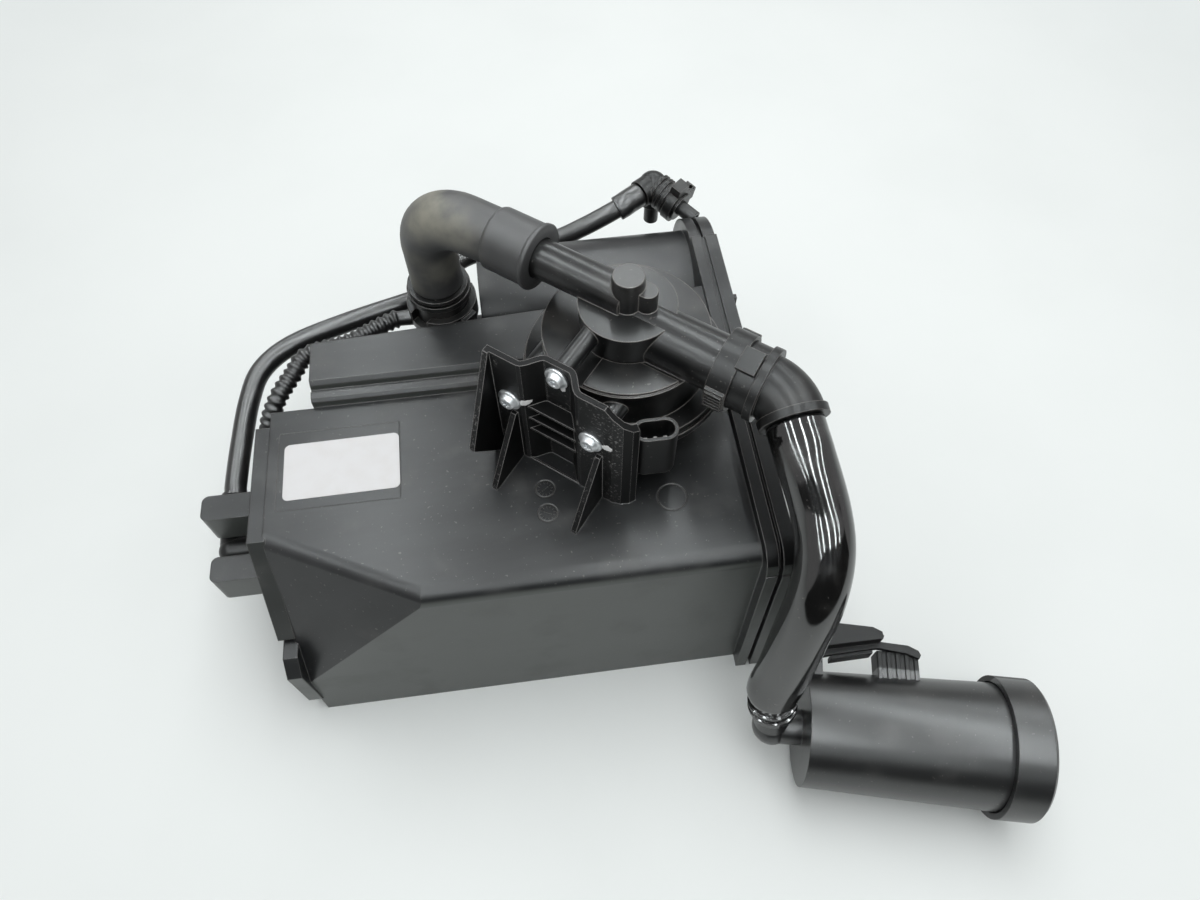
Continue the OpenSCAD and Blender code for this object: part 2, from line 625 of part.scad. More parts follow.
module pump_cover() color("#141517") at_pump() difference() {
    union() {
        difference() {
            translate([0, 0, rim_z + rim_t]) cylinder(r = rim_r - 1, h = rim_t);
            rim_flat();
            connector_pocket();
        }
        translate([0, 0, rim_z + rim_t]) cylinder(r = drum_r, h = drum_top - rim_z - rim_t);
        // Raised panel between the outlet and the middle screw boss
        translate([0, 0, drum_top - 1]) intersection() {
            ring(drum_r - 1, cup_r - 1, 2.2);
            translate([0, -far, -1]) cube([far, far - outlet_r - 1, 4]);
        }
        translate([0, 0, drum_top - 1]) cylinder(r1 = cup_r - 1.5, r2 = cup_r, h = cup_h + 1);
        // Upper tube with its valve boss
        translate([0, 0, tube_z]) rotate([0, -90, 0]) cylinder(r = tube_r, h = tube_end);
        translate([0, 0, cup_top - 1]) cylinder(r = 6.6, h = 14);
        translate([0, 0, cup_top + 13]) intersection() {
            sphere(6.6);
            cylinder(r = 7, h = 2.2);
        }
        translate([8, 1.5, cup_top - 1]) cylinder(r = 4, h = 11);
        translate([0, -2.5, cup_top - 1]) cube([8, 8, 11]);
        // Outlet tube with the bead that the quick connector locks behind
        translate([0, 0, outlet_z]) rotate([0, 90, 0]) cylinder(r = outlet_r, h = outlet_end);
        translate([outlet_end - 12, 0, outlet_z]) rotate([0, 90, 0]) cylinder(r = outlet_r + 1.5, h = 2);
        // Screw bosses
        for (i = [0, 2]) translate([screw_x[i], 0, screw_z[i]]) rotate([90, 0, 0])
            cylinder(r = 5, h = screw_y[i] - bracket_t / 2);
        translate([screw_x[1], 0, screw_z[1]]) rotate([90, 0, 0])
            cylinder(r = 4.2, h = screw_y[1] - bracket_t / 2);
    }
    translate([0, 0, rim_z]) cylinder(r = drum_r - pump_wall, h = drum_top - rim_z - pump_wall);
    translate([0, 0, rim_z]) cylinder(r = cup_r - 1.5 - pump_wall, h = cup_top - rim_z - pump_wall);
    translate([0, 0, tube_z]) rotate([0, -90, 0]) cylinder(r = tube_r - 2, h = tube_end + 1);
    translate([0, 0, outlet_z]) rotate([0, 90, 0]) cylinder(r = outlet_r - 2, h = outlet_end + 1);
    for (i = [0:2]) translate([screw_x[i], -screw_y[i] + bracket_t / 2 + 14, screw_z[i]]) rotate([90, 0, 0])
        cylinder(r = screw_r + 0.05, h = 16);
}
module pump_module() color("#8d9094") at_pump() {
    module_r = drum_r - 3 - pump_wall - clear;
    translate([0, 0, base_z + pump_wall])
        cylinder(r = module_r, h = drum_top - base_z - 2 * pump_wall - 14);
    translate([6, 6, base_z + pump_wall]) cylinder(r = 13, h = drum_top - base_z - 2 * pump_wall - clear);
}

// Plug socket of the pump, with three flat pins
connector_w = 18;
connector_d = 10.5;
connector_wall = 1.4;
connector_top = box_h + 42;
connector_bottom = box_h + 16;
connector_floor = connector_top - 14;
connector_at = [5, -rim_r - 1.7];
module at_connector() translate([pump_x + connector_at.x, pump_y + connector_at.y, 0]) children();
module stadium(w, d) union() {
    square([w - d, d], center = true);
    for (s = [-1, 1]) translate([s * (w - d) / 2, 0]) circle(d / 2);
}
module pump_connector() color("#131416") at_connector() difference() {
    union() {
        translate([0, 0, connector_bottom]) linear_extrude(connector_top - connector_bottom)
            stadium(connector_w, connector_d);
        translate([0, connector_d / 2 - 1.5, base_z + 6]) translate([-4, 0, 0]) cube([8, 1.5 + clear, 8]);
    }
    translate([0, 0, connector_floor]) linear_extrude(far)
        stadium(connector_w - 2 * connector_wall, connector_d - 2 * connector_wall);
    for (x = pin_x) translate([x - pin_w / 2, -pin_t / 2, connector_floor - 6]) cube([pin_w, pin_t, far]);
}
pin_x = [-4, 0, 4];
pin_w = 1.5;
pin_t = 0.7;
module connector_pins() color("#c9a24a") at_connector() for (x = pin_x)
    translate([x - pin_w / 2 + 0.02, -pin_t / 2 + 0.02, connector_floor - 6])
        cube([pin_w - 0.04, pin_t - 0.04, 14]);

// Flange screws with a star-drive recess
star_r = 1.45;
module screw() {
    difference() {
        union() {
            cylinder(r = screw_head_r, h = 1.1);
            translate([0, 0, 1]) cylinder(r1 = screw_head_r - 1, r2 = screw_head_r - 2.2, h = 2.2);
        }
        translate([0, 0, 1.4]) {
            cylinder(r = star_r, h = 3);
            for (a = [0:60:300]) rotate(a) translate([star_r, 0, 0]) cylinder(r = star_r / 3, h = 3);
        }
    }
    translate([0, 0, -bracket_t - 12]) cylinder(r = screw_r, h = bracket_t + 12.5);
}
module pump_screws() color("#c4c7ca") at_pump() for (i = [0:2])
    translate([screw_x[i], -screw_y[i] - bracket_t / 2, screw_z[i]]) rotate([90, 0, 0]) screw();

// Rubber elbow between the chamber port's quick connector and the pump's upper tube
hose_sides = 16;
elbow_bore = around(tube_r + slip, hose_sides);
stem_top = port_top + 26;
elbow_start = [port_x, port_y, port_top + 8];
elbow_corner = [port_x, port_y, tube_z];
elbow_end = pump_pt(-tube_end + 17, 0, tube_z);
elbow_tip = pump_pt(-tube_end - 4, 0, tube_z);
elbow_dir = unit(elbow_tip - elbow_corner);
elbow_bend = 24;
elbow_route = concat(
    [elbow_start, elbow_start + [0, 0, 6], elbow_start + [0, 0, 12]],
    [for (a = [0:15:90])
        elbow_corner + elbow_bend * ((1 - cos(a)) * elbow_dir + [0, 0, sin(a) - 1])],
    [mix(elbow_corner + elbow_dir * elbow_bend, elbow_tip, 0.5)],
    [for (t = [0, 0.06, 0.5, 0.94]) mix(elbow_tip, elbow_end, t)],
    [elbow_end]);
elbow_cuff = 1.4;
module rubber_elbow() color("#6a6d6b") {
    n = len(elbow_route);
    radii = [for (i = [0:n - 1])
        i == n - 1 ? elbow_r + elbow_cuff + 0.8 : i > n - 5 ? elbow_r + elbow_cuff : elbow_r];
    swept_tube(elbow_route, radii, fill(n, elbow_bore), hose_sides);
}

// Quick connector on the chamber port: socket below, barbed stem above
socket_r = port_r + slip;
collar_r = 15;
port_low = port_top - 22;
module port_connector() color("#1a1b1d") translate([port_x, port_y, 0]) difference() {
    union() {
        translate([0, 0, port_low]) cylinder(r1 = socket_r + 2.5, r2 = collar_r - 0.5, h = 8);
        translate([0, 0, port_low + 8]) cylinder(r = collar_r - 2, h = port_top + 8 - port_low - 8);
        translate([0, 0, port_top + 2]) cylinder(r = collar_r, h = 3);
        translate([0, 0, port_top + 6]) cylinder(r = collar_r - 0.8, h = 2);
        translate([0, 0, port_top]) cylinder(r = tube_r, h = stem_top - port_top);
    }
    translate([0, 0, port_low - 1]) cylinder(r = socket_r, h = port_top - port_low + 1);
    translate([0, 0, port_low]) cylinder(r = port_bore, h = far);
    translate([0, 0, port_top - 6]) torus(port_r + cord_r + 0.02, cord_r + cord_play);
    translate([-far, 0, ripple_nipple.z]) rotate([0, 90, 0]) cylinder(r = ripple_r + 1.6, h = far);
}
module port_o_ring() color("#2f5d50") translate([port_x, port_y, port_top - 6])
    torus(port_r + cord_r + 0.02, cord_r);
module port_lock_ring() color("#202224") translate([port_x, port_y, port_low + 8.2]) difference() {
    union() {
        ring(collar_r + 1.6, collar_r - 2 + slip, 10);
        for (a = [135, 315]) rotate(a) translate([collar_r, -4, 1]) cube([3.6, 8, 8]);
    }
    for (a = [45, 225]) rotate(a) translate([collar_r - 6, -5, 4]) cube([10, 10, 10]);
    translate([-far, 0, ripple_nipple.z - port_low - 8.2]) rotate([0, 90, 0])
        cylinder(r = ripple_r + 1.6, h = far);
}

// Vent quick connector: straight socket on the pump's outlet, then an elbow into the vent pipe
vent_socket_r = outlet_r + slip;
vent_collar_x = outlet_end - 11;
vent_neck_x = outlet_end + 4;
vent_out = unit(pump_pt(1, 0, 0) - pump_pt(0, 0, 0));
vent_dir = unit([2.3, -20.4, -6]);
vent_angle = acos(vent_out * vent_dir);
vent_bend = 20;
vent_leg = vent_bend * tan(vent_angle / 2);
vent_corner = pump_pt(vent_neck_x + vent_leg, 0, outlet_z);
vent_mouth = vent_corner + vent_leg * vent_dir;
vent_in = unit(vent_dir - (vent_dir * vent_out) * vent_out);
vent_bore = vent_r - vent_wall;
vent_stem_r = vent_bore * cos(180 / hose_sides) - slip;
module vent_elbow(r) in_plane(pump_pt(vent_neck_x, 0, outlet_z) + vent_bend * vent_in, -vent_in, vent_out)
    rotate_extrude(angle = vent_angle) translate([vent_bend, 0]) circle(r);
module vent_connector() color("#18191b") difference() {
    union() {
        at_pump() translate([vent_collar_x, 0, outlet_z]) rotate([0, 90, 0]) {
            translate([0, 0, 4]) cylinder(r = outlet_r + 2.2, h = vent_neck_x - vent_collar_x - 4);
            translate([0, 0, vent_neck_x - vent_collar_x - 2.5]) cylinder(r = outlet_r + 3.4, h = 3.5);
        }
        vent_elbow(outlet_r + 0.8);
        along(vent_mouth - vent_dir, vent_dir) cylinder(r = outlet_r + 2, h = 3.5);
        along(vent_mouth, vent_dir) cylinder(r = vent_stem_r, h = 9.5);
    }
    at_pump() translate([vent_collar_x, 0, outlet_z]) rotate([0, 90, 0]) {
        translate([0, 0, 3]) cylinder(r = vent_socket_r, h = outlet_end - vent_collar_x - 3 + slip);
        translate([0, 0, 7]) torus(outlet_r + cord_r + 0.02, cord_r + cord_play);
        cylinder(r = vent_stem_r - 2.4, h = vent_neck_x - vent_collar_x + 0.5);
    }
    vent_elbow(vent_stem_r - 2.2);
    along(vent_mouth - 0.5 * vent_dir, vent_dir) cylinder(r = vent_stem_r - 2.4, h = 20);
}
module vent_o_ring() color("#2f5d50") at_pump() translate([vent_collar_x + 7, 0, outlet_z])
    rotate([0, 90, 0]) torus(outlet_r + cord_r + 0.02, cord_r);
module vent_lock_ring() color("#1f2123") at_pump() translate([vent_collar_x - 4, 0, outlet_z])
    rotate([0, 90, 0]) difference() {
    union() {
        cylinder(r = outlet_r + 4, h = 9);
        // Straps over the socket to the neck
        for (a = [15, 195]) rotate(a) translate([outlet_r + 2.5, -5, 8]) cube([2, 10, 8]);
        // Ribbed press pads
        for (a = [93, 273]) rotate(a) {
            translate([outlet_r + 1.5, -5.5, 0.5]) cube([3, 11, 8]);
            for (y = [-4:2:4]) translate([outlet_r + 3, y - 0.5, 1]) cube([2.4, 1, 7]);
        }
    }
    translate([0, 0, -1]) cylinder(r = vent_socket_r, h = 5);
    translate([0, 0, 2.5]) cylinder(r = outlet_r + 2.2 + slip, h = 30);
}

// Vent pipe, preformed, from the elbow down to the filter's inlet
inlet_dir = unit([-0.05, 0.37, 1]);
vent_end = inlet_at + 12 * inlet_dir;
vent_points = [
    vent_mouth + 2.8 * vent_dir, vent_mouth + 9 * vent_dir, vent_mouth + 16 * vent_dir,
    [box_x1 + 16.5, box_y0 + 9, box_h + 34], [box_x1 + 17, box_y0 - 4.5, box_h + 24],
    [box_x1 + 14, box_y0 - 16, box_h + 10], [box_x1 + 9.7, box_y0 - 24, box_h - 12],
    mix([box_x1 + 6, box_y0 - 30, box_h - 36], vent_end, 0.1),
    vent_end + 15 * inlet_dir, vent_end + 6 * inlet_dir, vent_end];
vent_steps = 4;
vent_route = spline(vent_points, vent_steps);
vent_neck = 7;
module vent_pipe() color("#0f1011") {
    n = len(vent_route);
    // The lower end is necked down to the inlet, with two bead rings
    swept_tube(vent_route,
        [for (i = [0:n - 1]) i < n - vent_neck ? vent_r : (n - i) % 3 == 1 ? inlet_r + 3.2 : inlet_r + 2],
        [for (i = [0:n - 1]) i < n - vent_neck ? vent_bore : around(inlet_r + slip, hose_sides)], hose_sides);
}

// Dust filter: tapered housing with its inlet and clip, a cap and the pleated element
filter_wall = 2;
module filter_housing() color("#1b1c1e") {
    difference() {
        union() {
            at_filter() cylinder(r1 = filter_r0, r2 = filter_r1, h = filter_l);
            along(filter_pt(1, 0, 0), inlet_at - filter_pt(1, 0, 0)) cylinder(r = inlet_r, h = 14);
            translate(inlet_at) sphere(inlet_r + 0.8);
            along(inlet_at, inlet_dir) cylinder(r = inlet_r, h = 22);
            filter_clip();
        }
        at_filter() translate([0, 0, filter_wall])
            cylinder(r1 = filter_r0 - filter_wall, r2 = filter_r1 - filter_wall, h = filter_l);
        along(filter_pt(4, 0, 0), inlet_at - filter_pt(4, 0, 0)) cylinder(r = inlet_r - 2, h = 17);
        translate(inlet_at) sphere(inlet_r - 1.5);
        along(inlet_at, inlet_dir) cylinder(r = inlet_r - 2, h = 24);
    }
}
// Clip on the rear of the housing: a stepped tongue on a ribbed bridge
clip_z = 17;
module filter_clip() translate(filter_at) rotate(filter_turn) difference() {
    union() {
        // Lower flange, with the rounded end of the grip
        translate([0, 0, clip_z - 3]) linear_extrude(3)
            polygon([[2, 27], [12, 30], [33, 35], [46, 33.6], [51.5, 31.6],
            [52.4, 33.4], [51.4, 35.4], [46.8, 37.4], [34, 38], [2, 32.5]]);
        // Riser and raised tongue
        translate([0, 0, clip_z - 3]) linear_extrude(9)
            polygon([[2, 30.5], [34, 37.5], [34.5, 39.2], [2, 33.4]]);
        translate([0, 0, clip_z + 3]) linear_extrude(3)
            polygon([[2, 31.5], [34.4, 38.4], [33.8, 40.8], [29.7, 42.6],
            [14, 43], [2, 43.4]]);
        // Latch tab under the flange
        translate([0, 0, clip_z - 9]) linear_extrude(7)
            polygon([[12, 28.4], [31, 33], [31, 34.6], [12, 30.6]]);
        // Bridges to the housing, the right one ribbed for grip
        translate([33, 12, clip_z - 12]) cube([18.5, 22.5, 9.5]);
        for (i = [0:4]) translate([33.2 + 4.1 * i, 14, clip_z - 4]) cube([1.9, 20, 2.2]);
        translate([2, 12, clip_z - 9]) cube([6, 19, 7]);
    }
    rotate([0, 90, 0]) cylinder(r1 = filter_r0 - 1, r2 = filter_r1 - 1, h = filter_l);
}
breather_pcd = 15;
breather_r = 4;
module filter_cap() color("#202123") at_filter() difference() {
    translate([0, 0, filter_l - 6]) union() {
        cylinder(r = filter_cap_r, h = filter_cap_l - 1.5);
        translate([0, 0, filter_cap_l - 1.5]) cylinder(r1 = filter_cap_r, r2 = filter_cap_r - 1.5, h = 1.5);
    }
    translate([0, 0, filter_l - 7]) cylinder(r = filter_r1 + clear, h = 7 + clear);
    translate([0, 0, filter_l]) cylinder(r = filter_r1 - filter_wall - 2, h = filter_cap_l - 6 - 2.5);
    // Breather holes through the cap's face
    for (a = [0:60:300]) rotate(a) translate([breather_pcd, 0, filter_l])
        cylinder(r = breather_r, h = filter_cap_l);
}
pleats = 18;
module filter_element() color("#c9c3ae") at_filter() translate([0, 0, filter_wall + clear + 4]) {
    r_out = filter_r0 - filter_wall - 1;
    r_in = 14;
    depth = 4;
    linear_extrude(filter_l - filter_wall - 8) difference() {
        polygon([for (i = [0:2 * pleats - 1])
            (r_out - depth * (i % 2)) * [cos(180 * i / pleats), sin(180 * i / pleats)]]);
        circle(r_in);
    }
    // End discs that hold the pleats in the housing
    translate([0, 0, -4]) ring(filter_r0 - filter_wall - clear, r_in, 4);
}

// Purge line, preformed, around the back of the canister
purge_sides = 12;
purge_bore_r = purge_r - purge_wall;
purge_bore = 2.5;
purge_nipple_r = 5;
cap_nipple_r = 4;
fitting_0 = 10;
tank_nipple_r = 4;
tank_nipple_l = 12;
fitting_at = cap_port + 30 * cap_port_dir;
fitting_dir = unit([-0.84, -0.52, -0.06]);
end_fitting_at = purge_port + [-18, 0, 0];
end_fitting_dir = unit([-0.04, 1, 0.06]);
purge_clear = chamber_r + purge_r + 1.5;
purge_rings = 5;
purge_ring_pitch = 3;
purge_cuff_end = 14 + purge_rings * purge_ring_pitch;
purge_points = [
    fitting_at + 10 * fitting_dir, fitting_at + 17 * fitting_dir, fitting_at + 25 * fitting_dir,
    [chamber_x0 + 58, chamber_y + purge_clear, chamber_z + 16],
    [chamber_x0 + 40, chamber_y + purge_clear, chamber_z + 8],
    [chamber_x0 + 14, chamber_y + purge_clear, chamber_z + 4],
    [chamber_x0 - 4, chamber_y + purge_clear - 1, chamber_z + 4],
    [chamber_x0 - 18, chamber_y + 25, chamber_z + 7],
    [port_x - 10, port_y + 26, chamber_z + 11], [port_x - 22, port_y + 20, chamber_z + 13],
    [notch_x + 10, rear_y(notch_x) + 32, box_h - 16], [box_x0 + 2, rear_y(notch_x) + 23, box_h - 18],
    [box_x0 - 13, rear_y(notch_x) + 11, box_h - 20], [box_x0 - 19.5, rear_y(notch_x) - 4, box_h - 24],
    [box_x0 - 24, rear_y(notch_x) - 27, box_h - 30],
    end_fitting_at + (purge_cuff_end + 5) * end_fitting_dir,
    end_fitting_at + purge_cuff_end * end_fitting_dir];
purge_smooth = spline(purge_points, 3);
purge_route = concat(purge_smooth, [for (i = [1:2 * purge_rings])
    end_fitting_at + (purge_cuff_end - i * purge_ring_pitch / 2) * end_fitting_dir]);
module purge_line() color("#111214") {
    n = len(purge_route);
    smooth = len(purge_smooth);
    // The first stretch is a thicker sleeve, the last one a ringed cuff
    radii = [for (i = [0:n - 1])
        i < 7 ? purge_r + 1.6 : i >= smooth && (i - smooth) % 2 == 0 ? purge_r + 1.3 : purge_r];
    swept_tube(purge_route, radii, fill(n, purge_bore_r), purge_sides);
}
purge_stem_r = purge_bore_r * cos(180 / purge_sides) - slip;
module purge_fitting() color("#1a1b1d") {
    difference() {
        union() {
            along(cap_port + fitting_0 * cap_port_dir, cap_port_dir) {
                cylinder(r = 7.8, h = 20);
                for (z = [8, 11.5, 15]) translate([0, 0, z]) cylinder(r = 9, h = 1.8);
            }
            translate(fitting_at) sphere(8);
            along(fitting_at, fitting_dir) cylinder(r = 7.4, h = 9.5);
            along(fitting_at, fitting_dir) cylinder(r = purge_stem_r, h = 17);
            translate(fitting_at - [0, 0, 12]) cylinder(r = 6, h = 12);
            translate(fitting_at - [0, 0, 12 + tank_nipple_l]) cylinder(r = tank_nipple_r, h = 12);
        }
        along(cap_port + (fitting_0 - 1) * cap_port_dir, cap_port_dir)
            cylinder(r = cap_nipple_r + slip, h = cap_port_l - fitting_0 + 1 + slip);
        along(cap_port + fitting_0 * cap_port_dir, cap_port_dir) cylinder(r = 2.2, h = 20);
        along(fitting_at, fitting_dir) cylinder(r = 2.1, h = 30);
        translate(fitting_at - [0, 0, 40]) cylinder(r = 2, h = 40);
        translate(fitting_at) sphere(3);
    }
}
module purge_lock_clip() color("#212325")
    along(cap_port + (fitting_0 + 1.5) * cap_port_dir, cap_port_dir) difference() {
    union() {
        ring(9.8, 7.8 + slip, 5);
        for (a = [180, 270]) rotate(a) translate([9, -4, 0]) cube([5, 8, 6]);
    }
    rotate(270) translate([12, 0, 2.5]) rotate([90, 0, 0]) cylinder(r = 1.3, h = 20, center = true);
}
module purge_end_fitting() color("#1a1b1d") difference() {
    union() {
        translate(end_fitting_at) sphere(6.6);
        translate(end_fitting_at) rotate([0, 90, 0]) cylinder(r = 6.6, h = 17.5);
        along(end_fitting_at, end_fitting_dir) cylinder(r = 6.2, h = 13.5);
        along(end_fitting_at, end_fitting_dir) cylinder(r = purge_stem_r, h = 22);
    }
    translate(end_fitting_at + [18 - purge_nipple_l - slip, 0, 0]) rotate([0, 90, 0])
        cylinder(r = purge_nipple_r + slip, h = 20);
    translate(end_fitting_at) rotate([0, 90, 0]) cylinder(r = 2.2, h = 20);
    along(end_fitting_at, end_fitting_dir) cylinder(r = 2.2, h = 30);
}

// Corrugated line from the chamber port around the left rear corner to the shelf
ripple_sides = 12;
ripple_bore = 2.6;
ripple_depth = 1;
ripple_lead = 34;
ripple_points = [
    [port_x - port_r - 1, port_y, ripple_nipple.z], [port_x - port_r - 8, port_y, ripple_nipple.z],
    [port_x - port_r - 15, port_y - 0.5, ripple_nipple.z],
    [port_x - ripple_lead, port_y - 5, ripple_nipple.z], [notch_x + 14, rear_y(notch_x) + 9, box_h - 4],
    [notch_x - 5, rear_y(notch_x) + 4, box_h - 4], [notch_x - 12.5, rear_y(notch_x) - 5.5, box_h - 6],
    [box_x0 - 1, notch_y + 13, box_h - 9], [shelf_at.x, shelf_at.y + 3, box_h - 20],
    [shelf_at.x, shelf_at.y, box_h - 34], shelf_at + [0, 0, 12], shelf_at + [0, 0, 0.5]];
ripple_smooth = spline(ripple_points, 12);
ripple_len = path_length(ripple_smooth, 0);
function path_length(p, i) = i >= len(p) - 1 ? 0 : norm(p[i + 1] - p[i]) + path_length(p, i + 1);
function point_along(p, s, i) =
    let (d = norm(p[i + 1] - p[i])) (s <= d || i >= len(p) - 2) ? mix(p[i], p[i + 1], min(s / d, 1))
        : point_along(p, s - d, i + 1);
module corrugated_line() color("#1c1d1f") {
    rings = 2 * floor(ripple_len / ripple_pitch);
    step = ripple_len / rings;
    path = [for (i = [0:rings]) point_along(ripple_smooth, i * step, 0)];
    cuff = 7;
    radii = [for (i = [0:rings])
        i < cuff || i > rings - cuff ? ripple_r - 0.5 : ripple_r - ripple_depth * (i % 2)];
    swept_tube(path, radii, fill(rings + 1, around(ripple_bore, ripple_sides)), ripple_sides);
}

module label() color("#f2f2ef") translate([label_x, label_y, box_h - field_d]) rotate(0.6)
    linear_extrude(0.25) rounded_rect(label_w, label_d, 2.5);

canister_body();
end_cap();
main_carbon_bed();
main_inlet_fleece();
main_outlet_fleece();
main_spring_plate();
main_springs();
rear_carbon_bed();
rear_inlet_fleece();
rear_outlet_fleece();
rear_spring_plate();
rear_spring();
pump_base();
pump_cover();
pump_module();
pump_seal();
pump_connector();
connector_pins();
pump_screws();
rubber_elbow();
port_connector();
port_lock_ring();
port_o_ring();
vent_connector();
vent_lock_ring();
vent_o_ring();
vent_pipe();
filter_housing();
filter_cap();
filter_element();
purge_line();
purge_fitting();
purge_lock_clip();
purge_end_fitting();
corrugated_line();
label();
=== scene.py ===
# %% [markdown]
# # A charcoal canister
# The canister catches petrol vapour. Its box and rear chamber are one moulding, and a leak-test
# pump stands on a folded bracket on top. The construction comes from the CAD frame. This lesson
# gives it finishes, and makes the pieces again that faceted solids can't show well: the four
# preformed lines and the screws. It adds paint dabs beside the screws and ticks in two mould marks.

import math
import random

import bpy
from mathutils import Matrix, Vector
from mathutils.bvhtree import BVHTree


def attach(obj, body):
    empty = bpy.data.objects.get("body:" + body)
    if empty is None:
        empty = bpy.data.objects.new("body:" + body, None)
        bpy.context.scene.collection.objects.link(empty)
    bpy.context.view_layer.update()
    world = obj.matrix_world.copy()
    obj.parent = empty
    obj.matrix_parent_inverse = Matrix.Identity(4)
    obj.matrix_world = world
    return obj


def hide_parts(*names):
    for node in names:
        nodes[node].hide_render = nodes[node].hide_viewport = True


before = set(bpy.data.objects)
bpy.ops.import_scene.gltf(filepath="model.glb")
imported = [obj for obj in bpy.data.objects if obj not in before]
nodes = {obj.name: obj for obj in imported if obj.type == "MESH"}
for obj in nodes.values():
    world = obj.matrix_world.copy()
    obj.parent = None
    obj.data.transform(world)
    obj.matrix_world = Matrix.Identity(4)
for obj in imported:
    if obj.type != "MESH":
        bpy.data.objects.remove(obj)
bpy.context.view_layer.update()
MM = 0.001
PUMP_TURN = math.radians(-39)  # of the pump and its bracket, about the vertical
FACE_OUT = Vector((math.sin(PUMP_TURN), -math.cos(PUMP_TURN), 0))
FACE_ALONG = Vector((math.cos(PUMP_TURN), math.sin(PUMP_TURN), 0))

# %% [markdown]
# ## Node trees as sums
# A finish is a formula: a base tone, plus clouds, plus dust. One small class lets a socket stand in
# such a formula, and one method adds every other kind of node. The same two classes build the
# Geometry Nodes trees further down.


# %% Wires and graphs
class Wire:
    """An output socket that can stand in a sum or a product."""

    def __init__(self, graph, socket):
        self.graph = graph
        self.socket = socket

    def _math(self, operation, a, b):
        return self.graph.node("ShaderNodeMath", {"operation": operation}, {0: a, 1: b})

    def __add__(self, other):
        return self._math("ADD", self, other)

    def __sub__(self, other):
        return self._math("SUBTRACT", self, other)

    def __rsub__(self, other):
        return self._math("SUBTRACT", other, self)

    def __mul__(self, other):
        return self._math("MULTIPLY", self, other)

    __radd__ = __add__
    __rmul__ = __mul__


class Graph:
    """Adds nodes to one tree. An input takes a plain value or a wire."""

    def __init__(self, tree):
        self.tree = tree

    def node(self, kind, settings=None, inputs=None, out=0):
        made = self.tree.nodes.new(kind)
        for key, value in (settings or {}).items():
            setattr(made, key, value)
        for key, value in (inputs or {}).items():
            self.feed(made.inputs[key], value)
        return Wire(self, made.outputs[out])

    def feed(self, socket, value):
        if isinstance(value, Wire):
            self.tree.links.new(value.socket, socket)
        else:
            socket.default_value = value


print("graph classes:", Wire.__name__, Graph.__name__)

# %% [markdown]
# ## Patterns that finishes share
# Plastic, rubber and metal are never even: tone and gloss drift, dust gathers and edges catch the
# light. Pictures could show that, but they need unwrapped meshes. Here the patterns come from noise
# in Object coordinates and from the normals, so one recipe fits any mesh.


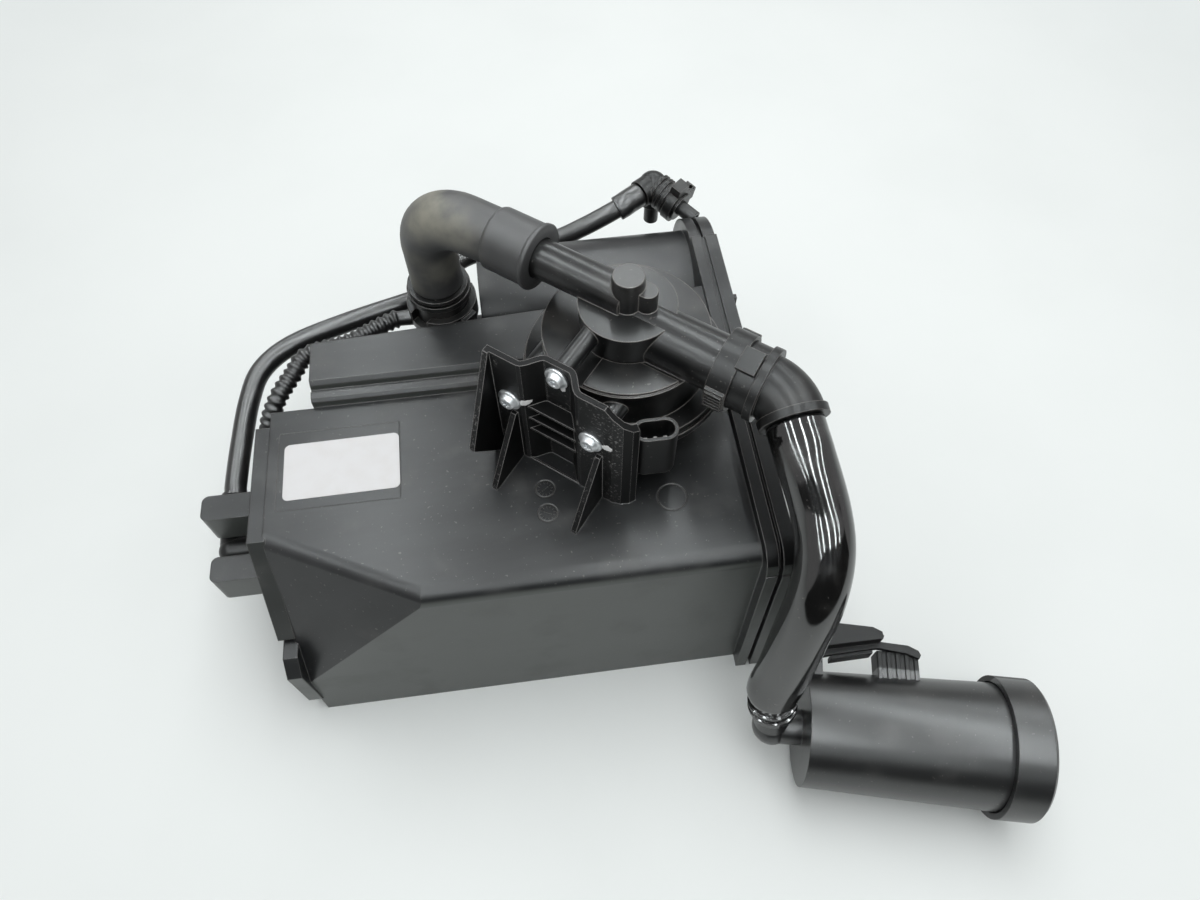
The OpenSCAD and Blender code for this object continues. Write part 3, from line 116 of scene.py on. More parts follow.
# %% Shared patterns
class Paint(Graph):
    """A material on Object coordinates, with the patterns that the finishes share."""

    EDGE_STARTS, EDGE_FULL = 0.996, 0.95  # cosines of the turn at an edge
    DULL_SPECULAR, BEVEL_SAMPLES = 0.08, 6

    def __init__(self, name, specular=0.5):
        self.material = bpy.data.materials.new(name)
        self.material.use_nodes = True
        super().__init__(self.material.node_tree)
        self.shader = self.tree.nodes["Principled BSDF"]
        self.shader.inputs["Specular IOR Level"].default_value = specular
        self.place = self.node("ShaderNodeTexCoord", out="Object")

    def sized(self, size, turn=(0, 0, 0)):
        """Coordinates in which a pattern of one unit has this size in metres."""
        return self.node(
            "ShaderNodeMapping",
            {"vector_type": "TEXTURE"},
            {"Vector": self.place, "Rotation": turn, "Scale": size},
        )

    def noise(self, scale, detail=2.0, place=None):
        return self.node(
            "ShaderNodeTexNoise",
            None,
            {"Vector": place or self.place, "Scale": scale, "Detail": detail},
        )

    def band(self, value, low, high):
        """0 below low, 1 above high and soft between. It runs down if low is the greater."""
        return self.node(
            "ShaderNodeMapRange",
            {"interpolation_type": "SMOOTHSTEP"},
            {0: value, 1: low, 2: high},
        )

    def blend(self, a, b, share):
        return self.node("ShaderNodeMix", {"data_type": "RGBA"}, {0: share, 6: a, 7: b}, out=2)

    def axis(self, index, vector=None):
        return self.node("ShaderNodeSeparateXYZ", None, {0: vector or self.place}, out=index)

    def softened(self, radius):
        """The normal as if every edge had this radius."""
        return self.node("ShaderNodeBevel", {"samples": self.BEVEL_SAMPLES}, {"Radius": radius})

    def facing(self):
        return self.node("ShaderNodeNewGeometry", out="Normal")

    def along(self, a, b):
        """The dot product of two vectors."""
        settings = {"operation": "DOT_PRODUCT"}
        return self.node("ShaderNodeVectorMath", settings, {0: a, 1: b}, out="Value")

    def edges(self, soft):
        """1 near an edge, from the turn between the softened and the true normal."""
        turn = self.along(soft, self.facing())
        return self.band(turn, self.EDGE_STARTS, self.EDGE_FULL)

    def surface(self, factor, a, b):
        """Shows shader a where the factor is 0, and shader b where it is 1."""
        mixed = self.node("ShaderNodeMixShader", None, {0: factor, 1: a, 2: b})
        self.feed(self.tree.nodes["Material Output"].inputs["Surface"], mixed)

    def dress(self, colour, rough, height=None, depth=0.0, normal=None, metallic=0.0, dull=None):
        """Feeds the Principled shader. The height is a bump of this depth in metres.

        Where dull is 1, a second shader takes over that reflects hardly anything.
        """
        shaders = [self.shader]
        if dull is not None:
            inputs = {"Specular IOR Level": self.DULL_SPECULAR}
            flat = self.node("ShaderNodeBsdfPrincipled", None, inputs)
            shaders.append(flat.socket.node)
            self.surface(dull, Wire(self, self.shader.outputs[0]), flat)
        if height is not None:
            inputs = {"Strength": 1.0, "Distance": depth, "Height": height}
            if normal is not None:
                inputs["Normal"] = normal
            normal = self.node("ShaderNodeBump", None, inputs)
        for shader in shaders:
            self.feed(shader.inputs["Base Color"], colour)
            self.feed(shader.inputs["Roughness"], rough)
            shader.inputs["Metallic"].default_value = metallic
            if normal is not None:
                self.feed(shader.inputs["Normal"], normal)
        return self.material


print("pattern class:", Paint.__name__)

# %% [markdown]
# ## Moulded plastics
# The box, the pump, the connectors and the filter are injection moulded. What tells them apart is
# how dark and how glossy they are and how much dust they hold, so one recipe makes them all. Clouds
# and wiping marks vary the tone, and specks and a film are dust. A Bevel node rounds the sharp CAD
# edges in the light without a change to the mesh. A second one finds the edges, which are painted
# pale: partly wear, and partly a painted highlight where a rounded edge would catch the light.

# %% Plastic recipe
BRACKET_FOOT = 0.1081, 0.1083  # heights between which the bracket's finish sets in
BRACKET_BACK = 0.034, 0.033  # and the same along y
CLIP_SIDE = Vector((0.225, 0.974, 0))  # from the filter towards its clip
CLIP_FOOT = -0.0604, -0.0596  # and the places along it where the clip's finish sets in
# The colour of a painted reflection: the front wall made lighter and greener, as if it showed the
# pale floor.
FRONT_WALL_REFLECTION = (0.078, 0.086, 0.079, 1)


def grey(value, warm=0.0):
    """A grey in linear light, a little warm if above nought and cool if below."""
    return (value * (1 + warm), value, value * (1 - warm), 1.0)


# A pale grey for dust, and for pale edges that are partly wear and partly painted highlight.
DUST_AND_GLINT = grey(0.32, 0.06)


def moulded(
    name, dark, light, rough, specular,
    dust=0.3, grain=0.01, edge=0.6, line=0.3, edge_wear_and_glint=0.1, uneven=0.3, spots=None,
):
    """Grain, edge and line are in mm: the bump's depth, the rounding and the width of the pale
    edge, which is partly wear and partly a painted highlight.
    """
    p = Paint(name, specular)
    cloud = p.band(p.noise(12, 4), 0.35, 0.68)
    wipe = p.band(p.noise(1, 4, p.sized((0.08, 0.014, 0.03), (0.0, 0.05, 0.1))), 0.3, 0.75)
    tone = p.blend(dark, light, cloud * 0.5 + wipe * 0.5)
    speck = p.band(p.noise(700, 1), 0.71, 0.77)
    film = p.band(p.noise(45, 6), 0.5, 0.72)
    soft = p.softened(edge * MM)
    rim = p.edges(p.softened(line * MM))
    tone = p.blend(tone, DUST_AND_GLINT, dust * (speck * 0.5 + film * 0.16))
    # Pale edges: partly wear, partly a painted highlight where the edge would catch the light.
    tone = p.blend(tone, DUST_AND_GLINT, edge_wear_and_glint * rim)
    matt = rough + uneven * (film * 0.14 + wipe * 0.06)
    dull = None
    if spots:
        tone, matt, dull = spots(p, tone, matt, rim)
    return p.dress(tone, matt, p.noise(1100, 2) + cloud * 0.4, grain * MM, soft, dull=dull)


def housing_spots(p, tone, matt, rim):
    """The bracket is black, scuffed, and pale at its edges, partly from wear and partly as a
    painted highlight. The front wall is painted lighter and greener, a painted reflection of the
    pale floor.
    """
    on = p.band(p.axis(2), *BRACKET_FOOT) * p.band(p.axis(1), *BRACKET_BACK)
    tone = p.blend(tone, grey(0.004), 0.85 * on)
    front = p.band(p.along(p.facing(), FACE_OUT), 0.8, 0.95)
    chalk = p.band(p.noise(900, 5), 0.55, 0.7) * p.band(p.noise(40, 3), 0.42, 0.6) * front
    # Scuffs on the bracket's front faces, and its edges made pale: partly wear, partly painted
    # highlight.
    tone = p.blend(tone, grey(0.4, 0.02), on * (0.5 * chalk + 0.75 * rim))
    # Painted reflection: faces looking to the front, off the bracket, are blended towards a lighter
    # green-grey, as the pale floor in front would show in them.
    painted_wall_reflection = p.band(p.axis(1, p.facing()), -0.8, -0.95) * (1.0 - on)
    tone = p.blend(tone, FRONT_WALL_REFLECTION, 0.65 * painted_wall_reflection)
    return tone, matt + 0.1 * on, on * (0.85 - 0.6 * front)


def clip_spots(p, tone, matt, rim):
    """The filter's clip is matt and black."""
    on = p.band(p.along(p.place, CLIP_SIDE), *CLIP_FOOT)
    return p.blend(tone, grey(0.006), 0.9 * on), matt + 0.1 * on, 0.75 * on


housing = moulded(
    "housing", grey(0.01, -0.07), grey(0.027, -0.05), rough=0.31, specular=0.45,
    grain=0.015, edge=0.9, line=0.45, edge_wear_and_glint=0.2, uneven=0.7, spots=housing_spots,
)
pump_black = moulded(
    "pump_black", grey(0.003), grey(0.007, -0.05), rough=0.3, specular=0.5,
    dust=0.4, grain=0.003, edge=0.7, line=0.75, edge_wear_and_glint=0.6, uneven=0.1,
)
connector_black = moulded(
    "connector_black", grey(0.003), grey(0.007, -0.05), rough=0.36, specular=0.4,
    dust=0.4, grain=0.005, line=0.5, edge_wear_and_glint=0.4, uneven=0.15,
)
filter_black = moulded(
    "filter_black", grey(0.006), grey(0.012, -0.05), rough=0.3, specular=0.8,
    grain=0.006, uneven=0.25, spots=clip_spots,
)
print("plastics:", housing.name, pump_black.name, connector_black.name, filter_black.name)

# %% [markdown]
# ## Rubber, pipe, metal, paper
# The hose is matt rubber that holds brown dust. On its upper faces the dust is laid on thicker,
# partly as dust and partly as painted light falling on top. The pipes are polyamide and shine.
# Screws, springs and pins are metal, and the label is plain paper. What lies inside gets its true
# finish too, because the part can be opened in the library.

# %% Other finishes
# The dust colour laid on the hose's upper faces: partly dust, partly painted light on top.
HOSE_DUST_AND_LIGHT = (0.34, 0.33, 0.26, 1)


def rubber(name, dark, light, dusty_from, dusty_to):
    """Dust sets in along x between dusty_from, where there is none, and dusty_to."""
    p = Paint(name, 0.5)
    cloud = p.band(p.noise(24, 5), 0.35, 0.7)
    dust = p.band(p.noise(38, 6), 0.38, 0.66) * p.band(p.axis(0), dusty_from, dusty_to)
    tone = p.blend(dark, light, cloud)
    # Partly painted light: the dust goes only on faces that look up, so the top is lighter and the
    # underside darker, as light from above would make it.
    upward_dust_and_light = p.band(p.axis(2, p.facing()), -0.5, 0.6)
    tone = p.blend(tone, HOSE_DUST_AND_LIGHT, 0.65 * (dust * upward_dust_and_light))
    height = p.noise(1500, 3) + dust * 0.6
    return p.dress(tone, 0.46 + dust * 0.16, height, 0.02 * MM, p.softened(0.5 * MM))


def pipe(name, tone, rough, ior):
    p = Paint(name, 1.0)
    p.shader.inputs["IOR"].default_value = ior
    smear = p.band(p.noise(1, 4, p.sized((0.012, 0.012, 0.05), (0.3, 0.2, 0.1))), 0.5, 0.74)
    speck = p.band(p.noise(800, 1), 0.72, 0.78)
    colour = p.blend(grey(tone), DUST_AND_GLINT, smear * 0.035 + speck * 0.2)
    height = p.noise(40, 2) + speck * 0.08
    return p.dress(colour, rough + smear * 0.12, height, 0.1 * MM, p.softened(0.3 * MM))


def metal(name, dark, light, rough):
    p = Paint(name)
    patch = p.band(p.noise(260, 4), 0.35, 0.7)
    colour = p.blend(dark, light, patch)
    soft = p.softened(0.25 * MM)
    return p.dress(colour, rough + patch * 0.12, p.noise(1800, 2), 0.01 * MM, soft, metallic=1.0)


def paper(name, tone, shade, rough, fibre):
    p = Paint(name, 0.35)
    mottle = p.band(p.noise(130, 5), 0.35, 0.75)
    colour = p.blend(tone, shade, mottle * 0.5)
    return p.dress(colour, rough, p.noise(fibre, 4), 0.02 * MM)


def granules(name, dark, light):
    p = Paint(name, 0.3)
    cell = p.node("ShaderNodeTexVoronoi", None, {"Vector": p.place, "Scale": 450.0}, out="Distance")
    colour = p.blend(dark, light, p.band(cell, 0.0, 0.6))
    return p.dress(colour, 0.8, 1.0 - cell, 0.8 * MM)


hose_rubber = rubber(
    "hose_rubber", grey(0.03, -0.02), grey(0.065, -0.02), dusty_from=0.008, dusty_to=-0.012
)
seal_rubber = rubber(
    "seal_rubber", (0.008, 0.04, 0.03, 1), (0.014, 0.07, 0.05, 1), dusty_from=1.0, dusty_to=2.0
)
pipe_gloss = pipe("pipe_gloss", tone=0.006, rough=0.1, ior=1.55)
purge_satin = pipe("purge_satin", tone=0.007, rough=0.3, ior=1.5)
ripple_black = pipe("ripple_black", tone=0.009, rough=0.34, ior=1.4)
zinc = metal("zinc", grey(0.6, -0.02), grey(0.8, -0.01), rough=0.42)
spring_steel = metal("spring_steel", grey(0.3), grey(0.45), rough=0.3)
pin_tin = metal("pin_tin", grey(0.2, 0.03), grey(0.3, 0.03), rough=0.5)
module_case = metal("module_case", grey(0.4), grey(0.55), rough=0.4)
label_paper = paper("label_paper", grey(0.64, -0.01), grey(0.58, 0.01), rough=0.5, fibre=900.0)
paint_white = paper("paint_white", grey(0.8), grey(0.62), rough=0.4, fibre=500.0)
fleece_felt = paper("fleece_felt", grey(0.7, 0.03), grey(0.5, 0.04), rough=0.9, fibre=1600.0)
pleat_paper = paper("pleat_paper", grey(0.55, 0.12), grey(0.42, 0.15), rough=0.8, fibre=1200.0)
carbon = granules("carbon", grey(0.008), grey(0.025))
plate_plastic = moulded("plate_plastic", grey(0.08), grey(0.13), rough=0.5, specular=0.4)
print("materials:", len(bpy.data.materials))

# %% [markdown]
# ## Finishes on the CAD nodes
# Every node keeps its mesh and gets one finish. The table goes by finish, so that pieces of one
# material always look alike.

# %% Dress the nodes
DRESS = {
    housing: ["canister_body", "end_cap"],
    pump_black: ["pump_base", "pump_cover", "pump_seal"],
    connector_black: [
        "pump_connector", "port_connector", "port_lock_ring", "vent_connector", "vent_lock_ring",
        "purge_fitting", "purge_lock_clip", "purge_end_fitting",
    ],
    filter_black: ["filter_housing", "filter_cap"],
    seal_rubber: ["port_o_ring", "vent_o_ring"],
    fleece_felt: [
        "main_inlet_fleece", "main_outlet_fleece", "rear_inlet_fleece", "rear_outlet_fleece",
    ],
    plate_plastic: ["main_spring_plate", "rear_spring_plate"],
    spring_steel: ["main_springs", "rear_spring"],
    carbon: ["main_carbon_bed", "rear_carbon_bed"],
    pleat_paper: ["filter_element"],
    module_case: ["pump_module"],
    pin_tin: ["connector_pins"],
    label_paper: ["label"],
    zinc: ["pump_screws"],
    hose_rubber: ["rubber_elbow"],
    pipe_gloss: ["vent_pipe"],
    purge_satin: ["purge_line"],
    ripple_black: ["corrugated_line"],
}
for finish, names in DRESS.items():
    for name in names:
        slots = nodes[name].data.materials
        slots.clear()
        slots.append(finish)
print("dressed:", sum(len(names) for names in DRESS.values()), "of", len(nodes))

# %% [markdown]
# ## The preformed lines
# A preformed pipe is a straight tube that was bent hot around a form, so it is one smooth curve
# with a girth that changes only at its cuffs. In CAD it is a chain of flat-sided rings. Here each
# line is a curve through the same points, and a Geometry Nodes tree sweeps a circle along it. The
# girth is a list of stations, each a distance along the line and a radius there.

# %% The sweep tree
CREASE = math.radians(50)


def geometry_tree(name, result, **kinds):
    """A tree with these named inputs. Gives its graph and a wire for each input."""
    tree = bpy.data.node_groups.new(name, "GeometryNodeTree")
    for label, kind in kinds.items():
        tree.interface.new_socket(label, in_out="INPUT", socket_type="NodeSocket" + kind)
    tree.interface.new_socket(result, in_out="OUTPUT", socket_type="NodeSocketGeometry")
    given = tree.nodes.new("NodeGroupInput")
    g = Graph(tree)
    return g, *(Wire(g, given.outputs[label]) for label in kinds)


def ended(g, geometry, finish):
    """Ends a tree: its instances become real faces, and all faces get the finish."""
    real = g.node("GeometryNodeRealizeInstances", None, {"Geometry": geometry})
    done = g.node("GeometryNodeSetMaterial", None, {"Geometry": real, "Material": finish})
    g.feed(g.tree.nodes.new("NodeGroupOutput").inputs[0], done)
    return g.tree


def preformed_tree():
    g, route, sides, finish = geometry_tree(
        "preformed_line", "Line", Route="Geometry", Sides="Int", Finish="Material"
    )
    curve = g.node("GeometryNodeMeshToCurve", None, {"Mesh": route})
    girth = g.node("GeometryNodeInputNamedAttribute", {"data_type": "FLOAT"}, {"Name": "girth"})
    ring = g.node("GeometryNodeCurvePrimitiveCircle", None, {"Resolution": sides, "Radius": 1.0})
    skin = g.node(
        "GeometryNodeCurveToMesh", None, {"Curve": curve, "Profile Curve": ring, "Scale": girth}
    )
    bend = g.node("GeometryNodeInputMeshEdgeAngle")
    sharp = g.node("FunctionNodeCompare", {"operation": "GREATER_THAN"}, {0: bend, 1: CREASE})
    smooth = g.node("GeometryNodeSetShadeSmooth", {"domain": "FACE"}, {"Geometry": skin})
    creased = g.node(
        "GeometryNodeSetShadeSmooth",
        {"domain": "EDGE"},
        {"Geometry": smooth, "Selection": sharp, "Shade Smooth": False},
    )
    return ended(g, creased, finish)


def settled(name, mesh, tree, **inputs):
    """Runs a tree on a mesh and keeps the result as a plain mesh object."""
    obj = bpy.data.objects.new(name, mesh)
    bpy.context.scene.collection.objects.link(obj)
    modifier = obj.modifiers.new("nodes", "NODES")
    modifier.node_group = tree
    sockets = {s.name: s.identifier for s in tree.interface.items_tree if s.in_out == "INPUT"}
    for key, value in inputs.items():
        modifier[sockets[key]] = value
    graph = bpy.context.evaluated_depsgraph_get()
    result = bpy.data.meshes.new_from_object(obj.evaluated_get(graph), depsgraph=graph)
    obj.modifiers.clear()
    obj.data = result
    return obj


LINE_TREE = preformed_tree()
print("sweep tree nodes:", len(LINE_TREE.nodes))

# %% [markdown]
# A drawing of such a line gives its bends as a few points. A curve with handles could join them,
# but every handle would have to be set. The curve here needs none, because it takes its direction
# at a point from the two beside it. The swept rings lie at even distances along it, and one more
# lies at every station of the girth.

# %% Routes and girths
NEAREST = 0.01  # two rings of a line that lie nearer to each other, in mm, are one


def through(points, steps=16):
    """A smooth curve through the points, as a dense list of places."""
    p = [Vector(q) for q in points]
    last = len(p) - 1
    rows = []
    for i in range(last):
        a, b, c, d = p[max(i - 1, 0)], p[i], p[i + 1], p[min(i + 2, last)]
        square, cube = 2 * a - 5 * b + 4 * c - d, 3 * b - a - 3 * c + d
        for k in range(steps):
            t = k / steps
            rows.append(0.5 * (2 * b + (c - a) * t + square * t**2 + cube * t**3))
    return rows + [p[last]]


def between(table, s):
    """The value at s in a sorted table of (s, value) rows."""
    for (s0, a), (s1, b) in zip(table, table[1:]):
        if s <= s1:
            return a + (b - a) * max(0.0, (s - s0) / (s1 - s0))
    return table[-1][1]


def preformed(name, rows, stations, spacing, sides, finish, node, slot):
    """Sweeps one line. Rows and stations are in mm. A station below nought counts from the end."""
    run = [0.0]
    for a, b in zip(rows, rows[1:]):
        run.append(run[-1] + (b - a).length)
    total = run[-1]
    girth = sorted((s if s >= 0 else total + s, r) for s, r in stations)
    count = max(2, round(total / spacing))
    marks = sorted({s for s, _ in girth} | {total * i / count for i in range(count + 1)})
    marks = [s for i, s in enumerate(marks) if i == 0 or s - marks[i - 1] > NEAREST]
    places = list(zip(run, rows))
    mesh = bpy.data.meshes.new(name)
    mesh.from_pydata(
        [between(places, s) * MM for s in marks], [(i, i + 1) for i in range(len(marks) - 1)], []
    )
    radius = mesh.attributes.new("girth", "FLOAT", "POINT")
    radius.data.foreach_set("value", [between(girth, s) * MM for s in marks])
    obj = settled(name, mesh, LINE_TREE, Sides=sides, Finish=finish)
    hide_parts(node)
    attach(obj, "root")
    print(name, "length", round(total), "mm, faces", len(obj.data.polygons))


print("line helpers:", through.__name__, between.__name__, preformed.__name__)

# %% [markdown]
# The vent pipe is the widest line. It leaves the pump's elbow, falls in one bow in front of the box
# and necks down to the filter's inlet, where two beads grip.

# %% Vent pipe
VENT_ROUTE = [
    (113.15, -31.91, 158.78), (113.82, -37.82, 157.04), (114.57, -44.50, 155.08),
    (119.00, -61.00, 142.00), (119.50, -74.50, 132.00), (116.50, -86.00, 118.00),
    (112.20, -94.00, 96.00), (108.28, -100.94, 69.02), (105.57, -104.22, 56.29),
    (105.99, -107.34, 47.86), (106.27, -109.42, 42.24),
]
preformed(
    "vent_pipe_smooth",
    through(VENT_ROUTE),
    [
        (0, 9.9), (0.05, 11.2), (0.5, 11.5), (-14, 11.5), (-10.4, 10.2), (-8.6, 10.0),
        (-8.2, 11.0), (-7.2, 11.0), (-6.8, 10.0), (-4.6, 10.0), (-4.2, 11.0), (-3.2, 11.0),
        (-2.8, 10.0), (-0.3, 10.0), (-0.05, 9.7), (-0.001, 8.3),
    ],
    spacing=1.6,
    sides=48,
    finish=pipe_gloss,
    node="vent_pipe",
    slot="line",
)

# %% [markdown]
# The purge line starts as a thicker sleeve at the rear fitting, goes around the back and ends in a
# ringed cuff between the two lugs.

# %% Purge line
PURGE_ROUTE = [
    (84.65, 155.41, 103.91), (78.71, 151.73, 103.49), (71.92, 147.53, 103.00),
    (53.00, 144.50, 95.00), (35.00, 144.50, 87.00), (9.00, 144.50, 83.00),
    (-9.00, 143.50, 83.00), (-23.00, 131.00, 86.00), (-32.50, 112.00, 90.00),
    (-44.50, 106.00, 92.00), (-73.50, 97.11, 92.00), (-100.50, 88.11, 90.00),
    (-115.50, 76.11, 88.00), (-122.00, 61.11, 84.00), (-126.50, 38.11, 78.00),
    (-128.36, 19.38, 75.03), (-128.16, 14.40, 74.74), (-127.56, -0.54, 73.84),
]
PURGE_RINGS, RING_PITCH, RING_GAP = 5, 3.0, 0.5
RING_PROFILE = [(0, 5.1), (0.25, 6.2), (1.65, 6.2), (1.9, 5.1)]  # stations from a ring's foot
ring_stations = [
    (RING_PITCH * (i - PURGE_RINGS) + RING_GAP + step, radius)
    for i in range(PURGE_RINGS)
    for step, radius in RING_PROFILE
]
preformed(
    "purge_line_smooth",
    through(PURGE_ROUTE),
    [
        (0, 4.0), (0.05, 6.3), (0.5, 6.6), (15, 6.6), (15.6, 6.3), (15.7, 5.0), (-16, 5.0),
        *ring_stations, (-0.3, 5.1), (-0.05, 5.0), (-0.001, 4.0),
    ],
    spacing=2.0,
    sides=32,
    finish=purge_satin,
    node="purge_line",
    slot="line",
)

# %% [markdown]
# The corrugated line bends by hand, because its wall is a row of ripples. Each pitch gets eight
# stations on a wave, and both ends stay plain where they grip their nipples.

# %% Corrugated line
RIPPLE_ROUTE = [
    (-33.00, 86.00, 104.00), (-40.00, 86.00, 104.00), (-47.00, 85.50, 104.00),
    (-56.50, 81.00, 104.00), (-69.50, 74.11, 104.00), (-88.50, 69.11, 104.00),
    (-96.00, 59.61, 102.00), (-103.50, 48.00, 99.00), (-110.00, 40.00, 88.00),
    (-110.00, 37.00, 74.00), (-110.00, 37.00, 62.00), (-110.00, 37.00, 50.50),
]
RIPPLE_PITCH, RIPPLE_CUFF, RIPPLE_RUN = 3.6, 12.0, 133.0
RIPPLE_RADIUS, RIPPLE_SWING, RIPPLE_STEPS = 4.1, 0.5, 8
waves = round(RIPPLE_RUN / RIPPLE_PITCH)
wave_stations = [
    (
        RIPPLE_CUFF + RIPPLE_PITCH * i / RIPPLE_STEPS,
        RIPPLE_RADIUS - RIPPLE_SWING * math.cos(2 * math.pi * i / RIPPLE_STEPS),
    )
    for i in range(RIPPLE_STEPS * waves + 1)
]
preformed(
    "corrugated_line_smooth",
    through(RIPPLE_ROUTE),
    [(0, 2.7), (0.05, RIPPLE_RADIUS), *wave_stations, (-0.05, RIPPLE_RADIUS), (-0.001, 2.7)],
    spacing=4.0,
    sides=24,
    finish=ripple_black,
    node="corrugated_line",
    slot="ripple",
)

# %% [markdown]
# The rubber elbow is moulded: it rises from the chamber port, turns through a quarter circle and
# ends in a thicker cuff with a lip on the pump's tube.

# %% Rubber elbow
ELBOW_FOOT = Vector((-22.5, 86.0, 128.0))
ELBOW_CORNER = Vector((-22.5, 86.0, 175.0))
ELBOW_TIP = Vector((8.817, 62.518, 175.0))
ELBOW_END = Vector((25.137, 49.302, 175.0))
ELBOW_BEND, ELBOW_STEP = 24.0, 5  # the radius in mm and the degrees between two rows
UP = Vector((0, 0, 1))
away = (ELBOW_TIP - ELBOW_CORNER).normalized()
arc = [
    ELBOW_CORNER + ELBOW_BEND * ((1 - math.cos(a)) * away + (math.sin(a) - 1) * UP)
    for a in (math.radians(turn) for turn in range(0, 91, ELBOW_STEP))
]
preformed(
    "rubber_elbow_smooth",
    [ELBOW_FOOT, *arc, ELBOW_TIP, ELBOW_END],
    [
        (0, 8.6), (0.05, 11.7), (0.6, 12.0), (22, 12.0), (36, 12.5), (58, 12.3), (-22, 12.0),
        (-21.4, 13.0), (-20.6, 13.4), (-2.4, 13.4), (-2.0, 14.0), (-0.5, 14.2), (-0.05, 13.8),
        (-0.001, 8.6),
    ],
    spacing=1.5,
    sides=48,
    finish=hose_rubber,
    node="rubber_elbow",
    slot="hose",
)

# %% [markdown]
# ## Flange screws
# Three zinc screws hold the pump on the bracket. One screw is lathed from a short profile, with a
# star recess whose radius swings six times in a turn. The tree sets it on three points and gives
# each its own random turn, as a hand with a driver would leave them.

# %% Screws
SIDES, STAR_POINTS = 60, 6
SPIN_MOST = 1.05  # in radians, about from one point of the star to the next
SCREW_SEED, SCREW_CREASE = 4, math.radians(40)
SCREW_AT = [
    Vector((6.651, 0.255, 149.0)),
    Vector((25.748, -5.558, 168.0)),
    Vector((36.183, -23.659, 149.0)),
]
SCREW_RINGS = [  # the radius, the swing of the star and the height of each ring, in mm
    (1.5, 0.28, 1.6), (1.55, 0.3, 3.05), (1.75, 0.3, 3.2), (2.7, 0, 3.22), (3.0, 0, 3.1),
    (3.15, 0, 2.9), (4.05, 0, 1.35), (4.35, 0, 1.12), (4.9, 0, 1.06), (5.12, 0, 0.9), (5.2, 0, 0.6),
    (5.2, 0, 0.12), (5.1, 0, 0), (2.8, 0, 0), (2.8, 0, -13.8), (2.0, 0, -14.5),
]


def screw_mesh():
    """One screw along z, with a face over each end."""
    places = []
    for radius, swing, z in SCREW_RINGS:
        for k in range(SIDES):
            a = 2 * math.pi * k / SIDES
            r = radius + swing * math.cos(STAR_POINTS * a)
            places.append((r * math.cos(a) * MM, r * math.sin(a) * MM, z * MM))
    last = len(places) - SIDES
    faces = [tuple(range(SIDES)), tuple(reversed(range(last, last + SIDES)))]
    for start in range(0, last, SIDES):
        for k in range(SIDES):
            a, b = start + k, start + (k + 1) % SIDES
            faces.append((a, a + SIDES, b + SIDES, b))
    mesh = bpy.data.meshes.new("screw")
    mesh.from_pydata(places, [], faces)
    return mesh


def screw_tree(source):
    g, points, seed, finish = geometry_tree(
        "screws_on_points", "Screws", Points="Geometry", Seed="Int", Finish="Material"
    )
    one = g.node("GeometryNodeObjectInfo", None, {"Object": source}, out="Geometry")
    placed = g.node(
        "GeometryNodeInstanceOnPoints",
        None,
        {"Points": points, "Instance": one, "Rotation": (math.pi / 2, 0, PUMP_TURN)},
    )
    angle = g.node("FunctionNodeRandomValue", None, {3: SPIN_MOST, "Seed": seed}, out=1)
    spin = g.node("ShaderNodeCombineXYZ", None, {2: angle})
    turned = g.node("GeometryNodeRotateInstances", None, {"Instances": placed, "Rotation": spin})
    return ended(g, turned, finish)


source = bpy.data.objects.new("screw_source", screw_mesh())
spots = bpy.data.meshes.new("screw_points")
spots.from_pydata([p * MM for p in SCREW_AT], [], [])
screws = settled("pump_screws_star", spots, screw_tree(source), Seed=SCREW_SEED, Finish=zinc)
bpy.data.objects.remove(source)
screws.data.shade_smooth()
screws.data.set_sharp_from_angle(angle=SCREW_CREASE)
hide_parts("pump_screws")
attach(screws, "root")
print("screw faces:", len(screws.data.polygons))

# %% [markdown]
# An inspector dabs white paint beside each screw once it is tight. A dab is a thin drop with a
# ragged rim, so each is a small fan of faces whose rim radius comes from a fixed random draw. Every
# point is cast on the bracket first, so that a dab follows the fold.

# %% Paint dabs
DAB_AT = [  # the screw, how far along and above it, the half width, and the height as a share of it
    (0, 6.6, 1.2, 2.5, 0.75), (1, 2.4, -5.8, 1.2, 1.5), (2, 7.2, 0.8, 2.5, 0.75),
]
DAB_LAYERS = [(-0.05, 1.0), (0.05, 0.97), (0.12, 0.7)]  # the lift in mm and the share of the width
DAB_RIM, DAB_RAGGED, DAB_SLANT, DAB_CROWN = 28, 0.16, 0.25, 0.15
DAB_SEED, CAST_FROM = 11, 6
draw = random.Random(DAB_SEED)
body = nodes["canister_body"].data
skin = BVHTree.FromPolygons([v.co for v in body.vertices], [f.vertices for f in body.polygons])


def on_bracket(place):
    """The place in mm, cast on the bracket from a little in front of it."""
    hit = skin.ray_cast((place + FACE_OUT * CAST_FROM) * MM, -FACE_OUT, 2 * CAST_FROM * MM)[0]
    return place if hit is None else hit / MM


def new_piece(name, places, faces, finish):
    """A plain mesh object with one finish."""
    mesh = bpy.data.meshes.new(name)
    mesh.from_pydata(places, [], faces)
    mesh.materials.append(finish)
    obj = bpy.data.objects.new(name, mesh)
    bpy.context.scene.collection.objects.link(obj)
    return obj


